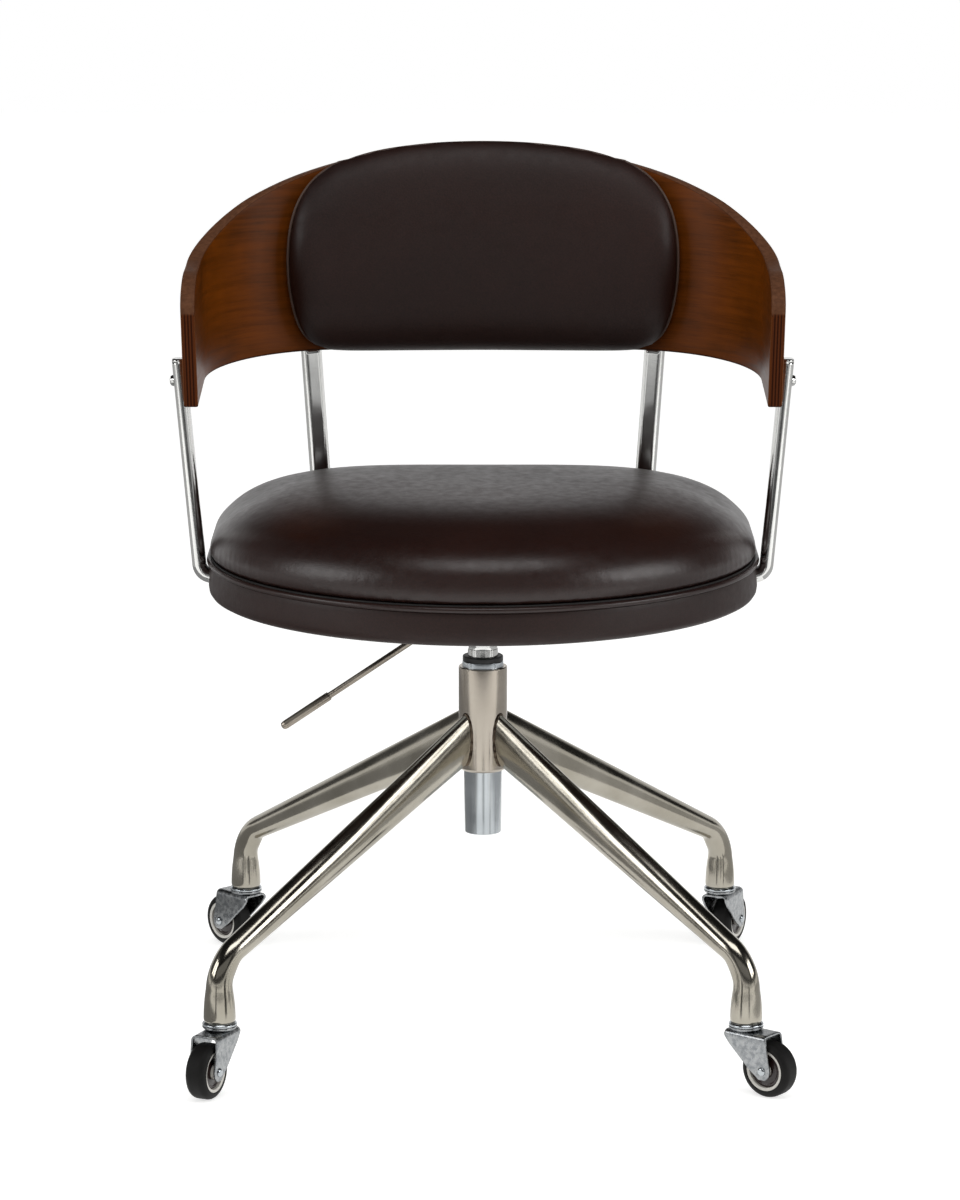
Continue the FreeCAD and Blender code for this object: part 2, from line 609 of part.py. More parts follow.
turned("piston_rod", [
    ("0", "column_floor_z - rod_tail"),
    ("rod_diameter / 2", "column_floor_z - rod_tail"),
    ("rod_diameter / 2", CLIP_TOP + " - clip_thickness"),
    ("rod_diameter / 2 - clip_groove", CLIP_TOP + " - clip_thickness"),
    ("rod_diameter / 2 - clip_groove", CLIP_TOP),
    ("rod_diameter / 2", CLIP_TOP),
    ("rod_diameter / 2", SHOULDER_Z),
    ("shoulder_diameter / 2", SHOULDER_Z),
    ("shoulder_diameter / 2", BUFFER_Z),
    ("rod_diameter / 2", BUFFER_Z),
    ("rod_diameter / 2", "rod_top_z - piston_height"),
    ("cylinder_diameter / 2 - cylinder_wall - running_gap", "rod_top_z - piston_height"),
    ("cylinder_diameter / 2 - cylinder_wall - running_gap", "rod_top_z"),
    ("0", "rod_top_z"),
])
ring("rod_clip", "rod_diameter / 2 - clip_groove", "clip_diameter / 2",
     CLIP_TOP + " - clip_thickness", CLIP_TOP)
ring("rubber_buffer", "rod_diameter / 2 + press_gap", "buffer_diameter / 2",
     BUFFER_Z, BUFFER_Z + " + buffer_height")
balls = []
for index in range(int(size("ball_count"))):
    angle = math.tau * index / size("ball_count")
    where = Vector(math.cos(angle), math.sin(angle), 0) * size("ball_circle / 2")
    where.z = size(BALL_BOTTOM + " + ball_diameter / 2")
    balls.append(Part.makeSphere(size("ball_diameter / 2"), where))
group("thrust_bearing", copies(lower_washer, [Placement()]) + copies(upper_washer, [Placement()]) + balls)

turned("gas_cylinder", [
    ("rod_diameter / 2 + running_gap", CYLINDER_Z),
    ("cylinder_diameter / 2", CYLINDER_Z),
    ("cylinder_diameter / 2", "groove_z"),
    ("cylinder_diameter / 2 - groove_depth", "groove_z"),
    ("cylinder_diameter / 2 - groove_depth", "groove_z + groove_width"),
    ("cylinder_diameter / 2", "groove_z + groove_width"),
    ("cylinder_diameter / 2", "cylinder_shoulder_z"),
    ("cylinder_top_diameter / 2", "cylinder_top_z"),
    ("release_diameter / 2 + running_gap", "cylinder_top_z"),
    ("release_diameter / 2 + running_gap", "chamber_top_z"),
    ("cylinder_diameter / 2 - cylinder_wall", "chamber_top_z - 4"),
    ("cylinder_diameter / 2 - cylinder_wall", CYLINDER_Z + " + cylinder_cap"),
    ("rod_diameter / 2 + running_gap", CYLINDER_Z + " + cylinder_cap"),
])
PIN_TOP = "(cylinder_top_z + release_height)"
turned("release_pin", [
    ("0", PIN_TOP + " - release_length"),
    ("release_diameter / 2", PIN_TOP + " - release_length"),
    ("release_diameter / 2", PIN_TOP + " - 0.5"),
    ("release_diameter / 2 - 0.5", PIN_TOP),
    ("0", PIN_TOP),
])


def taper_radius(z):
    """Formula of the cylinder's mounting taper at a height."""
    return ("(cylinder_diameter / 2 + (cylinder_top_diameter - cylinder_diameter) / 2"
            f" * ({z} - cylinder_shoulder_z) / (cylinder_top_z - cylinder_shoulder_z))")


turned("taper_socket", [
    (taper_radius("socket_bottom_z") + " + press_gap", "socket_bottom_z"),
    ("socket_tube / 2 - 1", "socket_bottom_z"),
    ("socket_tube / 2", "socket_bottom_z + 1"),
    ("socket_tube / 2", "bracket_web_z"),
    (taper_radius("bracket_web_z") + " + press_gap", "bracket_web_z"),
])

# Bracket, mounting plate and their fasteners under the seat board.
PLATE_Z = "(board_z - bracket_sheet)"


def bracket():
    """Channel on the taper socket: web with the cylinder's hole, two cheeks for the lever's pin."""
    body = new_body("seat_bracket")
    half = "bracket_width / 2"
    inner = "(bracket_width / 2 - bracket_sheet)"
    web_top = "bracket_web_z + bracket_sheet"
    channel = [
        ("0 - " + half, "bracket_web_z"),
        (half, "bracket_web_z"),
        (half, PLATE_Z),
        (inner, PLATE_Z),
        (inner, web_top),
        ("0 - " + inner, web_top),
        ("0 - " + inner, PLATE_Z),
        ("0 - " + half, PLATE_Z),
    ]
    pad(body, outline_sketch(body, "YZ", channel), "bracket_length", both_ways=True)
    beside_lever = [
        ("0 - bracket_length", "0 - " + inner),
        ("0 - web_edge", "0 - " + inner),
        ("0 - web_edge", inner),
        ("0 - bracket_length", inner),
    ]
    cut_through(body, outline_sketch(body, "XY", beside_lever))
    hole = "2 * " + taper_radius("bracket_web_z") + " + 2 * press_gap"
    cut_through(body, disc_sketch(body, "XY", [("0", "0", hole)]))
    pin_hole = ("pivot_x", PIN_TOP, "pivot_diameter + 2 * press_gap")
    cut_through(body, disc_sketch(body, "XZ", [pin_hole]))


bracket()
half_side = "plate_side / 2"
half_pitch = "plate_bolt_pitch / 2"
SQUARE = [("0 - {0}", "0 - {0}"), ("{0}", "0 - {0}"), ("{0}", "{0}"), ("0 - {0}", "{0}")]
plate = new_body("mounting_plate")
plate_outline = [(x.format(half_side), y.format(half_side)) for x, y in SQUARE]
pad(plate, outline_sketch(plate, "XY", plate_outline, PLATE_Z), "bracket_sheet")
plate_holes = [(x.format(half_pitch), y.format(half_pitch), "bolt_diameter + 2 * screw_play")
               for x, y in SQUARE]
cut_through(plate, disc_sketch(plate, "XY", plate_holes))

PLATE_CORNERS = [Vector(size(x), size(y), 0) for x, y, diameter in plate_holes]
ON_PLATE = [Placement(corner, Rotation()) for corner in PLATE_CORNERS]
bolt_pattern = turned("bolt_pattern", [
    ("0", PLATE_Z + " - bolt_head_height"),
    ("bolt_head / 2 - 1", PLATE_Z + " - bolt_head_height"),
    ("bolt_head / 2", PLATE_Z + " - bolt_head_height + 1"),
    ("bolt_head / 2", PLATE_Z),
    ("bolt_diameter / 2", PLATE_Z),
    ("bolt_diameter / 2", "board_z + bolt_grip"),
    ("0", "board_z + bolt_grip"),
], exported=False)
BOARD_TOP = "(board_z + board_thickness)"
nut_pattern = turned("nut_pattern", [
    ("bolt_diameter / 2 + press_gap", "board_z + 1"),
    ("nut_barrel / 2", "board_z + 1"),
    ("nut_barrel / 2", BOARD_TOP + " - nut_flange_height"),
    ("nut_flange / 2", BOARD_TOP + " - nut_flange_height"),
    ("nut_flange / 2", BOARD_TOP),
    ("bolt_diameter / 2 + press_gap", BOARD_TOP),
], exported=False)
group("plate_bolts", copies(bolt_pattern, ON_PLATE))
group("tee_nuts", copies(nut_pattern, ON_PLATE))

# Height lever: tongue on the pivot pin, rod welded to it, grip sleeve.
SLOPE = math.radians(size("lever_slope"))
LEVER_START = Vector(size("lever_start_x"), 0, size("lever_start_z"))
LEVER_FRAME = Placement(LEVER_START, Rotation(Vector(0, 1, 0), -(90 + size("lever_slope"))))


def tongue():
    """Stamped tongue: eye for the pin, nose over the release pin, heel on the rod's end."""
    body = new_body("lever_tongue")
    heel = "lever_diameter / 2 + 1.6"
    across_x = "sin(lever_slope * 1 deg)"
    across_z = "cos(lever_slope * 1 deg)"
    profile = [
        (f"lever_start_x - ({heel}) * {across_x}", f"lever_start_z + ({heel}) * {across_z}"),
        (f"lever_start_x + ({heel}) * {across_x}", f"lever_start_z - ({heel}) * {across_z}"),
        ("0 - web_edge - 3", PIN_TOP + " - 8"),
        ("0 - web_edge - 2", PIN_TOP + " - 4"),
        ("0 - release_diameter - 4", PIN_TOP),
        ("0 - 2.5", PIN_TOP + " + nose_gap + 0.8"),
        ("0", PIN_TOP + " + nose_gap"),
        ("2.5", PIN_TOP + " + nose_gap + 0.8"),
        ("5", PIN_TOP + " + 5"),
        ("pivot_x + 8", PIN_TOP + " + 8"),
        ("pivot_x - 6", PIN_TOP + " + 6"),
    ]
    pad(body, outline_sketch(body, "XZ", profile), "tongue_width", both_ways=True)
    eye = ("pivot_x", PIN_TOP, "pivot_diameter + 2 * running_gap")
    cut_through(body, disc_sketch(body, "XZ", [eye]))


tongue()
ring("lever_rod", "0", "lever_diameter / 2", "0", "lever_length - grip_end").Placement = LEVER_FRAME
turned("lever_grip", [
    ("lever_diameter / 2 + press_gap", "lever_length - grip_length"),
    ("grip_diameter / 2 - 0.4", "lever_length - grip_length"),
    ("grip_diameter / 2", "lever_length - grip_length + 0.4"),
    ("grip_diameter / 2", "lever_length - grip_diameter / 2"),
    ("grip_diameter / 2 * 0.87", "lever_length - grip_diameter / 4"),
    ("grip_diameter / 4", "lever_length - grip_diameter / 2 * 0.13"),
    ("0", "lever_length"),
    ("0", "lever_length - grip_end"),
    ("lever_diameter / 2 + press_gap", "lever_length - grip_end"),
]).Placement = LEVER_FRAME
pin_reach = "(bracket_width / 2)"
pivot = turned("pivot_pin", [
    ("0", "0 - " + pin_reach + " - pivot_head_height"),
    ("pivot_head / 2", "0 - " + pin_reach + " - pivot_head_height"),
    ("pivot_head / 2", "0 - " + pin_reach),
    ("pivot_diameter / 2", "0 - " + pin_reach),
    ("pivot_diameter / 2", pin_reach),
    ("pivot_head / 2", pin_reach),
    ("pivot_head / 2", pin_reach + " + pivot_head_height"),
    ("0", pin_reach + " + pivot_head_height"),
])
pivot.Placement = Placement(Vector(size("pivot_x"), 0, size(PIN_TOP)), Rotation(Vector(1, 0, 0), 90))

# Seat: round front, straight sides and wide rear corners.
def seat_outline(side, rear, z):
    """Seat's outline drawn in by side at the front and sides and by rear at the back."""
    half = size("seat_half_width") - side
    centre_y = size("seat_centre_y")
    rear_y = size("seat_rear_y") - rear
    corner = size("seat_corner") - (side + rear) / 4
    left, right = -half + corner, half - corner
    slant = corner * math.sqrt(0.5)
    edges = []
    for start in range(180, 360, 45):
        stops = [math.radians(start + step) for step in (0, 22.5, 45)]
        edges.append(Part.Arc(*[Vector(half * math.cos(a), centre_y + half * math.sin(a), z)
                                for a in stops]).toShape())
    side_top = rear_y - corner
    edges.append(Part.makeLine(Vector(half, centre_y, z), Vector(half, side_top, z)))
    edges.append(Part.Arc(Vector(half, side_top, z), Vector(right + slant, side_top + slant, z),
                          Vector(right, rear_y, z)).toShape())
    edges.append(Part.makeLine(Vector(right, rear_y, z), Vector(left, rear_y, z)))
    edges.append(Part.Arc(Vector(left, rear_y, z), Vector(left - slant, side_top + slant, z),
                          Vector(-half, side_top, z)).toShape())
    edges.append(Part.makeLine(Vector(-half, side_top, z), Vector(-half, centre_y, z)))
    return Part.Wire(edges)


def seat_slab(inset, bottom, top):
    """Upright slab inside the seat's outline."""
    face = Part.Face(seat_outline(inset, inset, bottom))
    return face.extrude(Vector(0, 0, top - bottom))


# Posts: one bent oval tube each, drawn in its own upright plane with X pointing outwards.
RUN_Z = "(board_z - post_depth / 2)"
SHELL_HALF = "(seat_half_width + shell_side_room)"
SHELL_REFERENCE = "(shell_bottom_z + shell_reference_rise)"
ARM_TOP = "(shell_bottom_z + arm_post_rise)"
REAR_TOP = "(shell_bottom_z + rear_post_rise)"
ARM_CORNER_X = size(SHELL_HALF + " - shell_corner")
REAR_CORNER_Y = size("shell_rear_y - shell_corner")
OUTER_CORNER = "(shell_corner + shell_thickness)"


def arm_shell_face(z):
    """Formula of the shell's outer face beside an arm post, from the middle."""
    return f"({SHELL_HALF} + shell_thickness + tan(shell_flare * 1 deg) * ({z} - {SHELL_REFERENCE}))"


def rear_shell_face(z):
    """Formula of the shell's outer face beside a rear post, from the corner's centre."""
    lean = ("(cos(rear_post_angle * 1 deg) * tan(shell_flare * 1 deg)"
            " + sin(rear_post_angle * 1 deg) * tan(shell_lean * 1 deg))")
    return f"({OUTER_CORNER} + {lean} * ({z} - {SHELL_REFERENCE}))"


def shell_edge_z(y):
    """Formula of the shell's lower edge at a place from front to back."""
    return f"(shell_bottom_z + tan(shell_bottom_rise * 1 deg) * ({y} - shell_front_y))"


def oval(sketch, width, depth, centre_y):
    """Flat oval of two straight sides and two half rounds in a sketch."""
    radius = depth / 2
    half = width / 2 - radius
    first = sketch.GeometryCount
    low, high = centre_y - radius, centre_y + radius
    sketch.addGeometry(Part.LineSegment(Vector(-half, low, 0), Vector(half, low, 0)), False)
    end = Part.Circle(Vector(half, centre_y, 0), UP, radius)
    sketch.addGeometry(Part.ArcOfCircle(end, -math.pi / 2, math.pi / 2), False)
    sketch.addGeometry(Part.LineSegment(Vector(half, high, 0), Vector(-half, high, 0)), False)
    end = Part.Circle(Vector(-half, centre_y, 0), UP, radius)
    sketch.addGeometry(Part.ArcOfCircle(end, math.pi / 2, 3 * math.pi / 2), False)
    for step in range(4):
        following = first + (step + 1) % 4
        sketch.addConstraint(Sketcher.Constraint("Coincident", first + step, 2, following, 1))


def post(label, foot, lean, start, top_z, drop):
    """Oval tube: run under the board, bend, leaning leg, with its screw holes."""
    body = new_body(label, exported=False)
    tilt = math.radians(size(lean))
    half = size("post_depth / 2")
    run_z = size(RUN_Z + " - " + drop)
    bend = size("post_bend")
    middle = Vector(size(foot) - half / math.cos(tilt), size(BOARD_TOP), 0)
    top = Vector(middle.x + (size(top_z) - middle.y) * math.tan(tilt), size(top_z), 0)
    knee_x = middle.x - (middle.y - run_z) * math.tan(tilt)
    tangent = bend * math.tan((math.pi / 2 - tilt) / 2)
    run_end = Vector(knee_x - tangent, run_z, 0)
    leg_start = Vector(knee_x + tangent * math.sin(tilt), run_z + tangent * math.cos(tilt), 0)
    centre = Vector(run_end.x, run_z + bend, 0)
    spine = attached_sketch(body, "XZ")
    spine.addGeometry(Part.LineSegment(Vector(size(start), run_z, 0), run_end), False)
    arc = Part.ArcOfCircle(Part.Circle(centre, UP, bend), -math.pi / 2, -tilt)
    spine.addGeometry(arc, False)
    spine.addGeometry(Part.LineSegment(leg_start, top), False)
    spine.addConstraint(Sketcher.Constraint("Coincident", 0, 2, 1, 1))
    spine.addConstraint(Sketcher.Constraint("Coincident", 1, 2, 2, 1))
    section = attached_sketch(body, "YZ", start)
    oval(section, size("post_width"), 2 * half, run_z)
    wall = size("post_wall")
    oval(section, size("post_width") - 2 * wall, 2 * half - 2 * wall, run_z)
    tube = body.newObject("PartDesign::AdditivePipe", "Tube")
    tube.Profile = section
    tube.Spine = (spine, ["Edge1", "Edge2", "Edge3"])
    screw_z = top_z + " - back_screw_drop"
    hole = body.newObject("PartDesign::Pocket", "ScrewHole")
    hole.Profile = disc_sketch(body, "YZ", [("0", screw_z, "bolt_diameter + 2 * screw_play")], start)
    hole.Type = "ThroughAll"
    hole.Reversed = True
    screws = [(start + " + seat_screw_inset", "0", "seat_screw_diameter + 2 * screw_play"),
              (foot + " - 3 * seat_screw_inset", "0", "seat_screw_diameter + 2 * screw_play")]
    cut_through(body, disc_sketch(body, "XY", screws))
    return body


def shell_centre(z):
    """Centre of the right corner's bend at a height."""
    climb = z - size(SHELL_REFERENCE)
    return Vector(ARM_CORNER_X + math.tan(FLARE) * climb, REAR_CORNER_Y + math.tan(LEAN) * climb, z)


def shell_side(sign, inner, outer, foot, rise):
    """An arm and its corner between two offsets, reaching past the arm's end."""
    centre = shell_centre(foot)
    front_y = size("shell_front_y - shell_corner")
    edges, ends = [], []
    for offset in (inner, outer):
        radius = size("shell_corner") + offset
        slant = radius * math.sqrt(0.5)
        end = Vector(sign * (centre.x + radius), front_y, foot)
        arm = Vector(sign * (centre.x + radius), centre.y, foot)
        middle = Vector(sign * (centre.x + slant), centre.y + slant, foot)
        rear = Vector(sign * centre.x, centre.y + radius, foot)
        edges += [Part.makeLine(end, arm), Part.Arc(arm, middle, rear).toShape()]
        ends.append((end, rear))
    edges += [Part.makeLine(*pair) for pair in zip(*ends)]
    plan = Part.Wire(Part.sortEdges(edges)[0])
    return Part.Face(plan).extrude(Vector(sign * math.tan(FLARE), math.tan(LEAN), 1) * rise)


def shell_rear(inner, outer, foot, rise):
    """The flat rear between two offsets, wider at its top."""
    rings = []
    for z in (foot, foot + rise):
        centre = shell_centre(z)
        near = centre.y + size("shell_corner") + inner
        far = centre.y + size("shell_corner") + outer
        rings.append([Vector(-centre.x, near, z), Vector(centre.x, near, z),
                      Vector(centre.x, far, z), Vector(-centre.x, far, z)])
    low, high = rings
    loops = [low, high] + [[low[i - 1], low[i], high[i], high[i - 1]] for i in range(4)]
    rear = Part.Solid(Part.Shell([Part.Face(Part.makePolygon(loop + loop[:1])) for loop in loops]))
    if rear.Volume < 0:
        rear.reverse()
    return rear


def shell_band(inner, outer):
    """Solid between two offsets of the shell's plan, taller than the shell and reaching past its arms."""
    foot = size("shell_bottom_z - 3 * shell_thickness")
    rise = size("shell_bottom_z + 1.25 * shell_height") - foot
    sides = [shell_side(sign, inner, outer, foot, rise) for sign in (-1, 1)]
    return shell_rear(inner, outer, foot, rise).fuse(sides).removeSplitter().Solids[0]


BEYOND = size("1.5 * seat_half_width")


def above_edge(drop):
    """Everything above the shell's lower edge, or above a line this far under it."""
    near, far = size("shell_front_y - shell_corner"), size("shell_rear_y + shell_corner")
    corners = [Vector(-BEYOND, near, size(shell_edge_z(str(near))) - drop),
               Vector(-BEYOND, far, size(shell_edge_z(str(far))) - drop),
               Vector(-BEYOND, far, HIGHEST), Vector(-BEYOND, near, HIGHEST)]
    return Part.Face(Part.makePolygon(corners + corners[:1])).extrude(Vector(2 * BEYOND, 0, 0))


FLARE = math.radians(size("shell_flare"))
LEAN = math.radians(size("shell_lean"))
ARM_PLACES = {
    "left": Placement(Vector(0, size("arm_post_y"), 0), Rotation(UP, 180)),
    "right": Placement(Vector(0, size("arm_post_y"), 0), Rotation()),
}
REAR_PLACES = {}
for side, sign in (("left", -1), ("right", 1)):
    heading = 90 - sign * (90 - size("rear_post_angle"))
    upper = Vector(0, 0, size(REAR_TOP))
    corner_centre = Vector(sign * ARM_CORNER_X, REAR_CORNER_Y, 0)
    rolled = turned_about(Vector(1, 0, 0), sign * size("rear_post_roll"), upper)
    REAR_PLACES[side] = Placement(corner_centre, Rotation(UP, heading)).multiply(rolled)
ARM_FOOT = "(seat_half_width + arm_post_reach)"
ARM_POST = (ARM_FOOT, "arm_post_lean", "arm_post_start", ARM_TOP, "arm_post_drop")
REAR_POST = ("rear_post_foot", "rear_post_lean", "rear_post_start", REAR_TOP, "rear_post_drop")
POSTS = [(ARM_POST, arm_shell_face, ARM_PLACES["left"]), (ARM_POST, arm_shell_face, ARM_PLACES["right"]),
         (REAR_POST, rear_shell_face, REAR_PLACES["left"]),
         (REAR_POST, rear_shell_face, REAR_PLACES["right"])]
POST_NAMES = ("arm_post_left", "arm_post_right", "rear_post_left", "rear_post_right")
WITHIN_SHELL = shell_band(-size("shell_corner / 2"), size("shell_thickness + press_gap"))
NOTCH = WITHIN_SHELL.common(above_edge(1))
arm_tube = post("arm_post_pattern", *ARM_POST)
rear_tube = post("rear_post_pattern", *REAR_POST)
doc.recompute()


def placed(shape, place):
    """Shape moved by a placement after its own."""
    moved = shape.copy()
    moved.Placement = place.multiply(moved.Placement)
    return moved


for name, (measures, face, place) in zip(POST_NAMES, POSTS):
    tube = arm_tube if measures is ARM_POST else rear_tube
    solid(name, placed(tube.Shape, place).cut(NOTCH))


def outer_face_x(foot, lean, z):
    """Outer face of a post at a height, from its own origin."""
    return size(foot) + (z - size(BOARD_TOP)) * math.tan(math.radians(size(lean)))


def cap_shape(foot, lean, start, top_z, drop):
    """Oval end plate over the open top of a post."""
    half_depth = size("post_depth / 2")
    straight = size("post_width / 2") - half_depth
    plate = Part.makeBox(2 * half_depth, 2 * straight, size("post_cap"), Vector(-half_depth, -straight, 0))
    for sign in (-1, 1):
        plate = plate.fuse(Part.makeCylinder(half_depth, size("post_cap"), Vector(0, sign * straight, 0)))
    plate = plate.removeSplitter()
    tilt = size(lean)
    middle_x = outer_face_x(foot, lean, size(top_z)) - half_depth / math.cos(math.radians(tilt))
    plate.Placement = Placement(Vector(middle_x, 0, size(top_z)), Rotation(Vector(0, 1, 0), tilt))
    return plate


group("post_caps", [placed(cap_shape(*measures), place).cut(WITHIN_SHELL)
                    for measures, face, place in POSTS])

back_screw_pattern = turned("back_screw_pattern", [
    ("0", "0"),
    ("bolt_diameter / 2", "0"),
    ("bolt_diameter / 2", "back_screw_length"),
    ("bolt_head / 2", "back_screw_length"),
    ("bolt_head / 2 - 1", "back_screw_length + bolt_head_height * 0.7"),
    ("bolt_head / 4", "back_screw_length + bolt_head_height"),
    ("0", "back_screw_length + bolt_head_height"),
], exported=False)
insert_pattern = ring("insert_pattern", "bolt_diameter / 2 + press_gap", "nut_barrel / 2",
                      "0", "insert_length", exported=False)
seat_screw_pattern = turned("seat_screw_pattern", [
    ("0", "0 - seat_screw_head_height"),
    ("seat_screw_head / 2 - 1", "0 - seat_screw_head_height"),
    ("seat_screw_head / 2", "0"),
    ("seat_screw_diameter / 2", "0"),
    ("seat_screw_diameter / 2", "post_depth + seat_screw_grip"),
    ("0", "post_depth + seat_screw_grip"),
], exported=False)
BACK_SCREW_PLACES = []
INSERT_PLACES = []
SEAT_SCREW_PLACES = []
for (foot, lean, start, top_z, drop), face, place in POSTS:
    screw_z = size(top_z + " - back_screw_drop")
    tilt = math.radians(size(lean))
    outwards = Rotation(Vector(0, 1, 0), 90 + size(lean))
    shank = Vector(math.cos(tilt), 0, -math.sin(tilt))
    head_seat = Vector(outer_face_x(foot, lean, screw_z), 0, screw_z)
    screw_end = head_seat - shank * size("back_screw_length")
    BACK_SCREW_PLACES.append(place.multiply(Placement(screw_end, outwards)))
    into_shell = (head_seat.x - size(face(str(screw_z)))) / shank.x + 0.5
    insert_end = head_seat - shank * (into_shell + size("insert_length"))
    INSERT_PLACES.append(place.multiply(Placement(insert_end, outwards)))
    for x in (start + " + seat_screw_inset", foot + " - 3 * seat_screw_inset"):
        at = Vector(size(x), 0, size("board_z - post_depth - " + drop))
        SEAT_SCREW_PLACES.append(place.multiply(Placement(at, Rotation())))
group("back_screws", copies(back_screw_pattern, BACK_SCREW_PLACES))
group("back_inserts", copies(insert_pattern, INSERT_PLACES))
group("post_seat_screws", copies(seat_screw_pattern, SEAT_SCREW_PLACES))


BEND_RISE = 1.6


def post_slot(measures, place):
    """Room for a post's run through the apron and band, higher where its bend begins."""
    play = size("soft_gap")
    width = size("post_width") + 2 * play
    low = size("board_z - post_depth - " + measures[4]) - play
    top = size("board_z") + play
    box = Part.makeBox(BEYOND, width, top - low, Vector(size(measures[2]), -width / 2, low))
    bend = Part.makeBox(BEYOND, width, top - low,
                        Vector(size(measures[0] + " - post_bend - post_depth"), -width / 2, low + BEND_RISE))
    return placed(box.fuse(bend), place)


def seat_board():
    """Plywood board with the tee nuts' and the post screws' holes."""
    board = seat_slab(size("band_skin"), size("board_z"), size(BOARD_TOP))
    play = size("press_gap")
    depth = size("board_thickness")
    for corner in PLATE_CORNERS:
        foot = Vector(corner.x, corner.y, size("board_z"))
        board = board.cut(Part.makeCylinder(size("nut_barrel / 2") + play, depth, foot))
        recess = Vector(corner.x, corner.y, size(BOARD_TOP + " - nut_flange_height"))
        board = board.cut(Part.makeCylinder(size("nut_flange / 2") + play, depth, recess))
    for place in SEAT_SCREW_PLACES:
        screw = Part.makeCylinder(size("seat_screw_diameter / 2") + play,
                                  size("post_depth + seat_screw_grip"))
        board = board.cut(placed(screw, place))
    return board


def seat_band():
    """Leather-covered apron under the board, its skin turned up round the board's edge."""
    bottom, top, board_z = size("board_z - band_drop"), size("board_z + band_rise"), size("board_z")
    band = seat_slab(0, bottom, top)
    lower = [edge for edge in band.Edges if edge.BoundBox.ZMax < bottom + 0.01]
    band = band.makeFillet(size("band_curl"), lower)
    band = band.cut(seat_slab(size("apron_width"), bottom - 1, board_z + 1))
    band = band.cut(seat_slab(size("band_skin"), board_z, top + 1))
    for measures, face, place in POSTS:
        band = band.cut(post_slot(measures, place))
    return band


def seat_piping():
    """Round piping on the band's upper edge."""
    radius = size("piping_diameter / 2")
    inset = size("piping_inset")
    spine = seat_outline(inset, inset, size("board_z + band_rise") + radius)
    start = spine.Edges[0].firstVertex(True).Point
    section = Part.Wire(Part.makeCircle(radius, start, Vector(0, 1, 0)))
    return spine.makePipeShell([section], True, False)


# Crown of the seat cushion: share of its run inwards, share of its rise.
CROWN = [(0.008, 0.19), (0.025, 0.28), (0.055, 0.38), (0.1, 0.485), (0.16, 0.59), (0.24, 0.7),
         (0.33, 0.8), (0.43, 0.88), (0.55, 0.935), (0.7, 0.975), (1, 1)]


def seat_cushion():
    """Crowned cushion: tucked-in foot, full sides, a dome that flattens to the top."""
    foot_z = size(BOARD_TOP)
    rise = size("cushion_rise")
    side, back = size("cushion_side"), size("cushion_back")
    tuck = size("cushion_tuck")
    crown = [(tuck, tuck, 0), (size("piping_inset"), size("piping_inset"), 0.11)]
    for run, height in CROWN:
        crown.append((side * run, back * run, height))
    wires = [seat_outline(across, rear, foot_z + rise * height) for across, rear, height in crown]
    return Part.makeLoft(wires, True, True)


solid("seat_board", seat_board())
solid("seat_band", seat_band())
solid("seat_piping", seat_piping())
solid("seat_cushion", seat_cushion())

# Back: bent plywood shell with a pad on its own board.
# Upper edge from the middle of the back to an arm's end: stretch, share of it, share of the height.
UPPER_EDGE = [
    ("rear", 0, 1), ("rear", 0.2, 0.999), ("rear", 0.38, 0.993), ("rear", 0.56, 0.978),
    ("rear", 0.74, 0.959), ("rear", 0.92, 0.934), ("corner", 0.043, 0.905), ("corner", 0.152, 0.872),
    ("corner", 0.261, 0.835), ("corner", 0.35, 0.801), ("corner", 0.456, 0.758), ("corner", 0.549, 0.715),
    ("corner", 0.643, 0.671), ("corner", 0.74, 0.629), ("corner", 0.849, 0.589), ("corner", 0.96, 0.559),
    ("arm", 0.12, 0.548), ("arm", 0.3, 0.543), ("arm", 0.48, 0.539), ("arm", 0.66, 0.524),
    ("arm", 0.79, 0.503), ("arm", 0.88, 0.482), ("arm", 0.94, 0.458), ("arm", 0.98, 0.43),
    ("arm", 1.04, 0.33),
]


def edge_point(sign, stretch, share, z, offset):
    """Point at a station of the shell, offset outwards from its inner face."""
    x, y, _ = shell_centre(z)
    radius = size("shell_corner") + offset
    if stretch == "rear":
        return Vector(sign * x * share, y + radius, z)
    if stretch == "corner":
        turn = share * math.pi / 2
        return Vector(sign * (x + radius * math.sin(turn)), y + radius * math.cos(turn), z)
    return Vector(sign * (x + radius), y - share * (y - size("shell_front_y")), z)


def over_edge():
    """Everything over the shell's upper edge, which lies square across the sheet."""
    reach = size("2 * shell_thickness")
    foot, height = size("shell_bottom_z"), size("shell_height")
    stations = [(-1, *station) for station in UPPER_EDGE[:0:-1]]
    stations += [(1, *station) for station in UPPER_EDGE]
    sections = []
    for sign, stretch, share, level in stations:
        near = edge_point(sign, stretch, share, foot + height * level, -reach)
        far = edge_point(sign, stretch, share, foot + height * level, reach)
        high = foot + 2 * height
        roof = [Vector(far.x, far.y, high), Vector(near.x, near.y, high)]
        sections.append(Part.makePolygon([near, far] + roof + [near]))
    return Part.makeLoft(sections, True, True)


def arm_ends():
    """Everything ahead of the arms' ends."""
    front = size("shell_front_y")
    return Part.makeBox(2 * BEYOND, BEYOND, HIGHEST, Vector(-BEYOND, front - BEYOND, 0))


PAD_FOOT = "(shell_bottom_z + pad_rise)"
PAD_HALF = "(" + SHELL_HALF + " - pad_side_room)"
REARWARDS = Rotation(UP, Vector(0, math.cos(LEAN), -math.sin(LEAN)))
PAD_SCREW_PLACES = []
for z in (size(PAD_FOOT + " + pad_screw_low"), size(PAD_FOOT + " + pad_screw_high")):
    rear_y = size("shell_rear_y + shell_thickness") + math.tan(LEAN) * (z - size(SHELL_REFERENCE))
    for x in (-size("pad_screw_x"), size("pad_screw_x")):
        PAD_SCREW_PLACES.append(Placement(Vector(x, rear_y, z), REARWARDS))


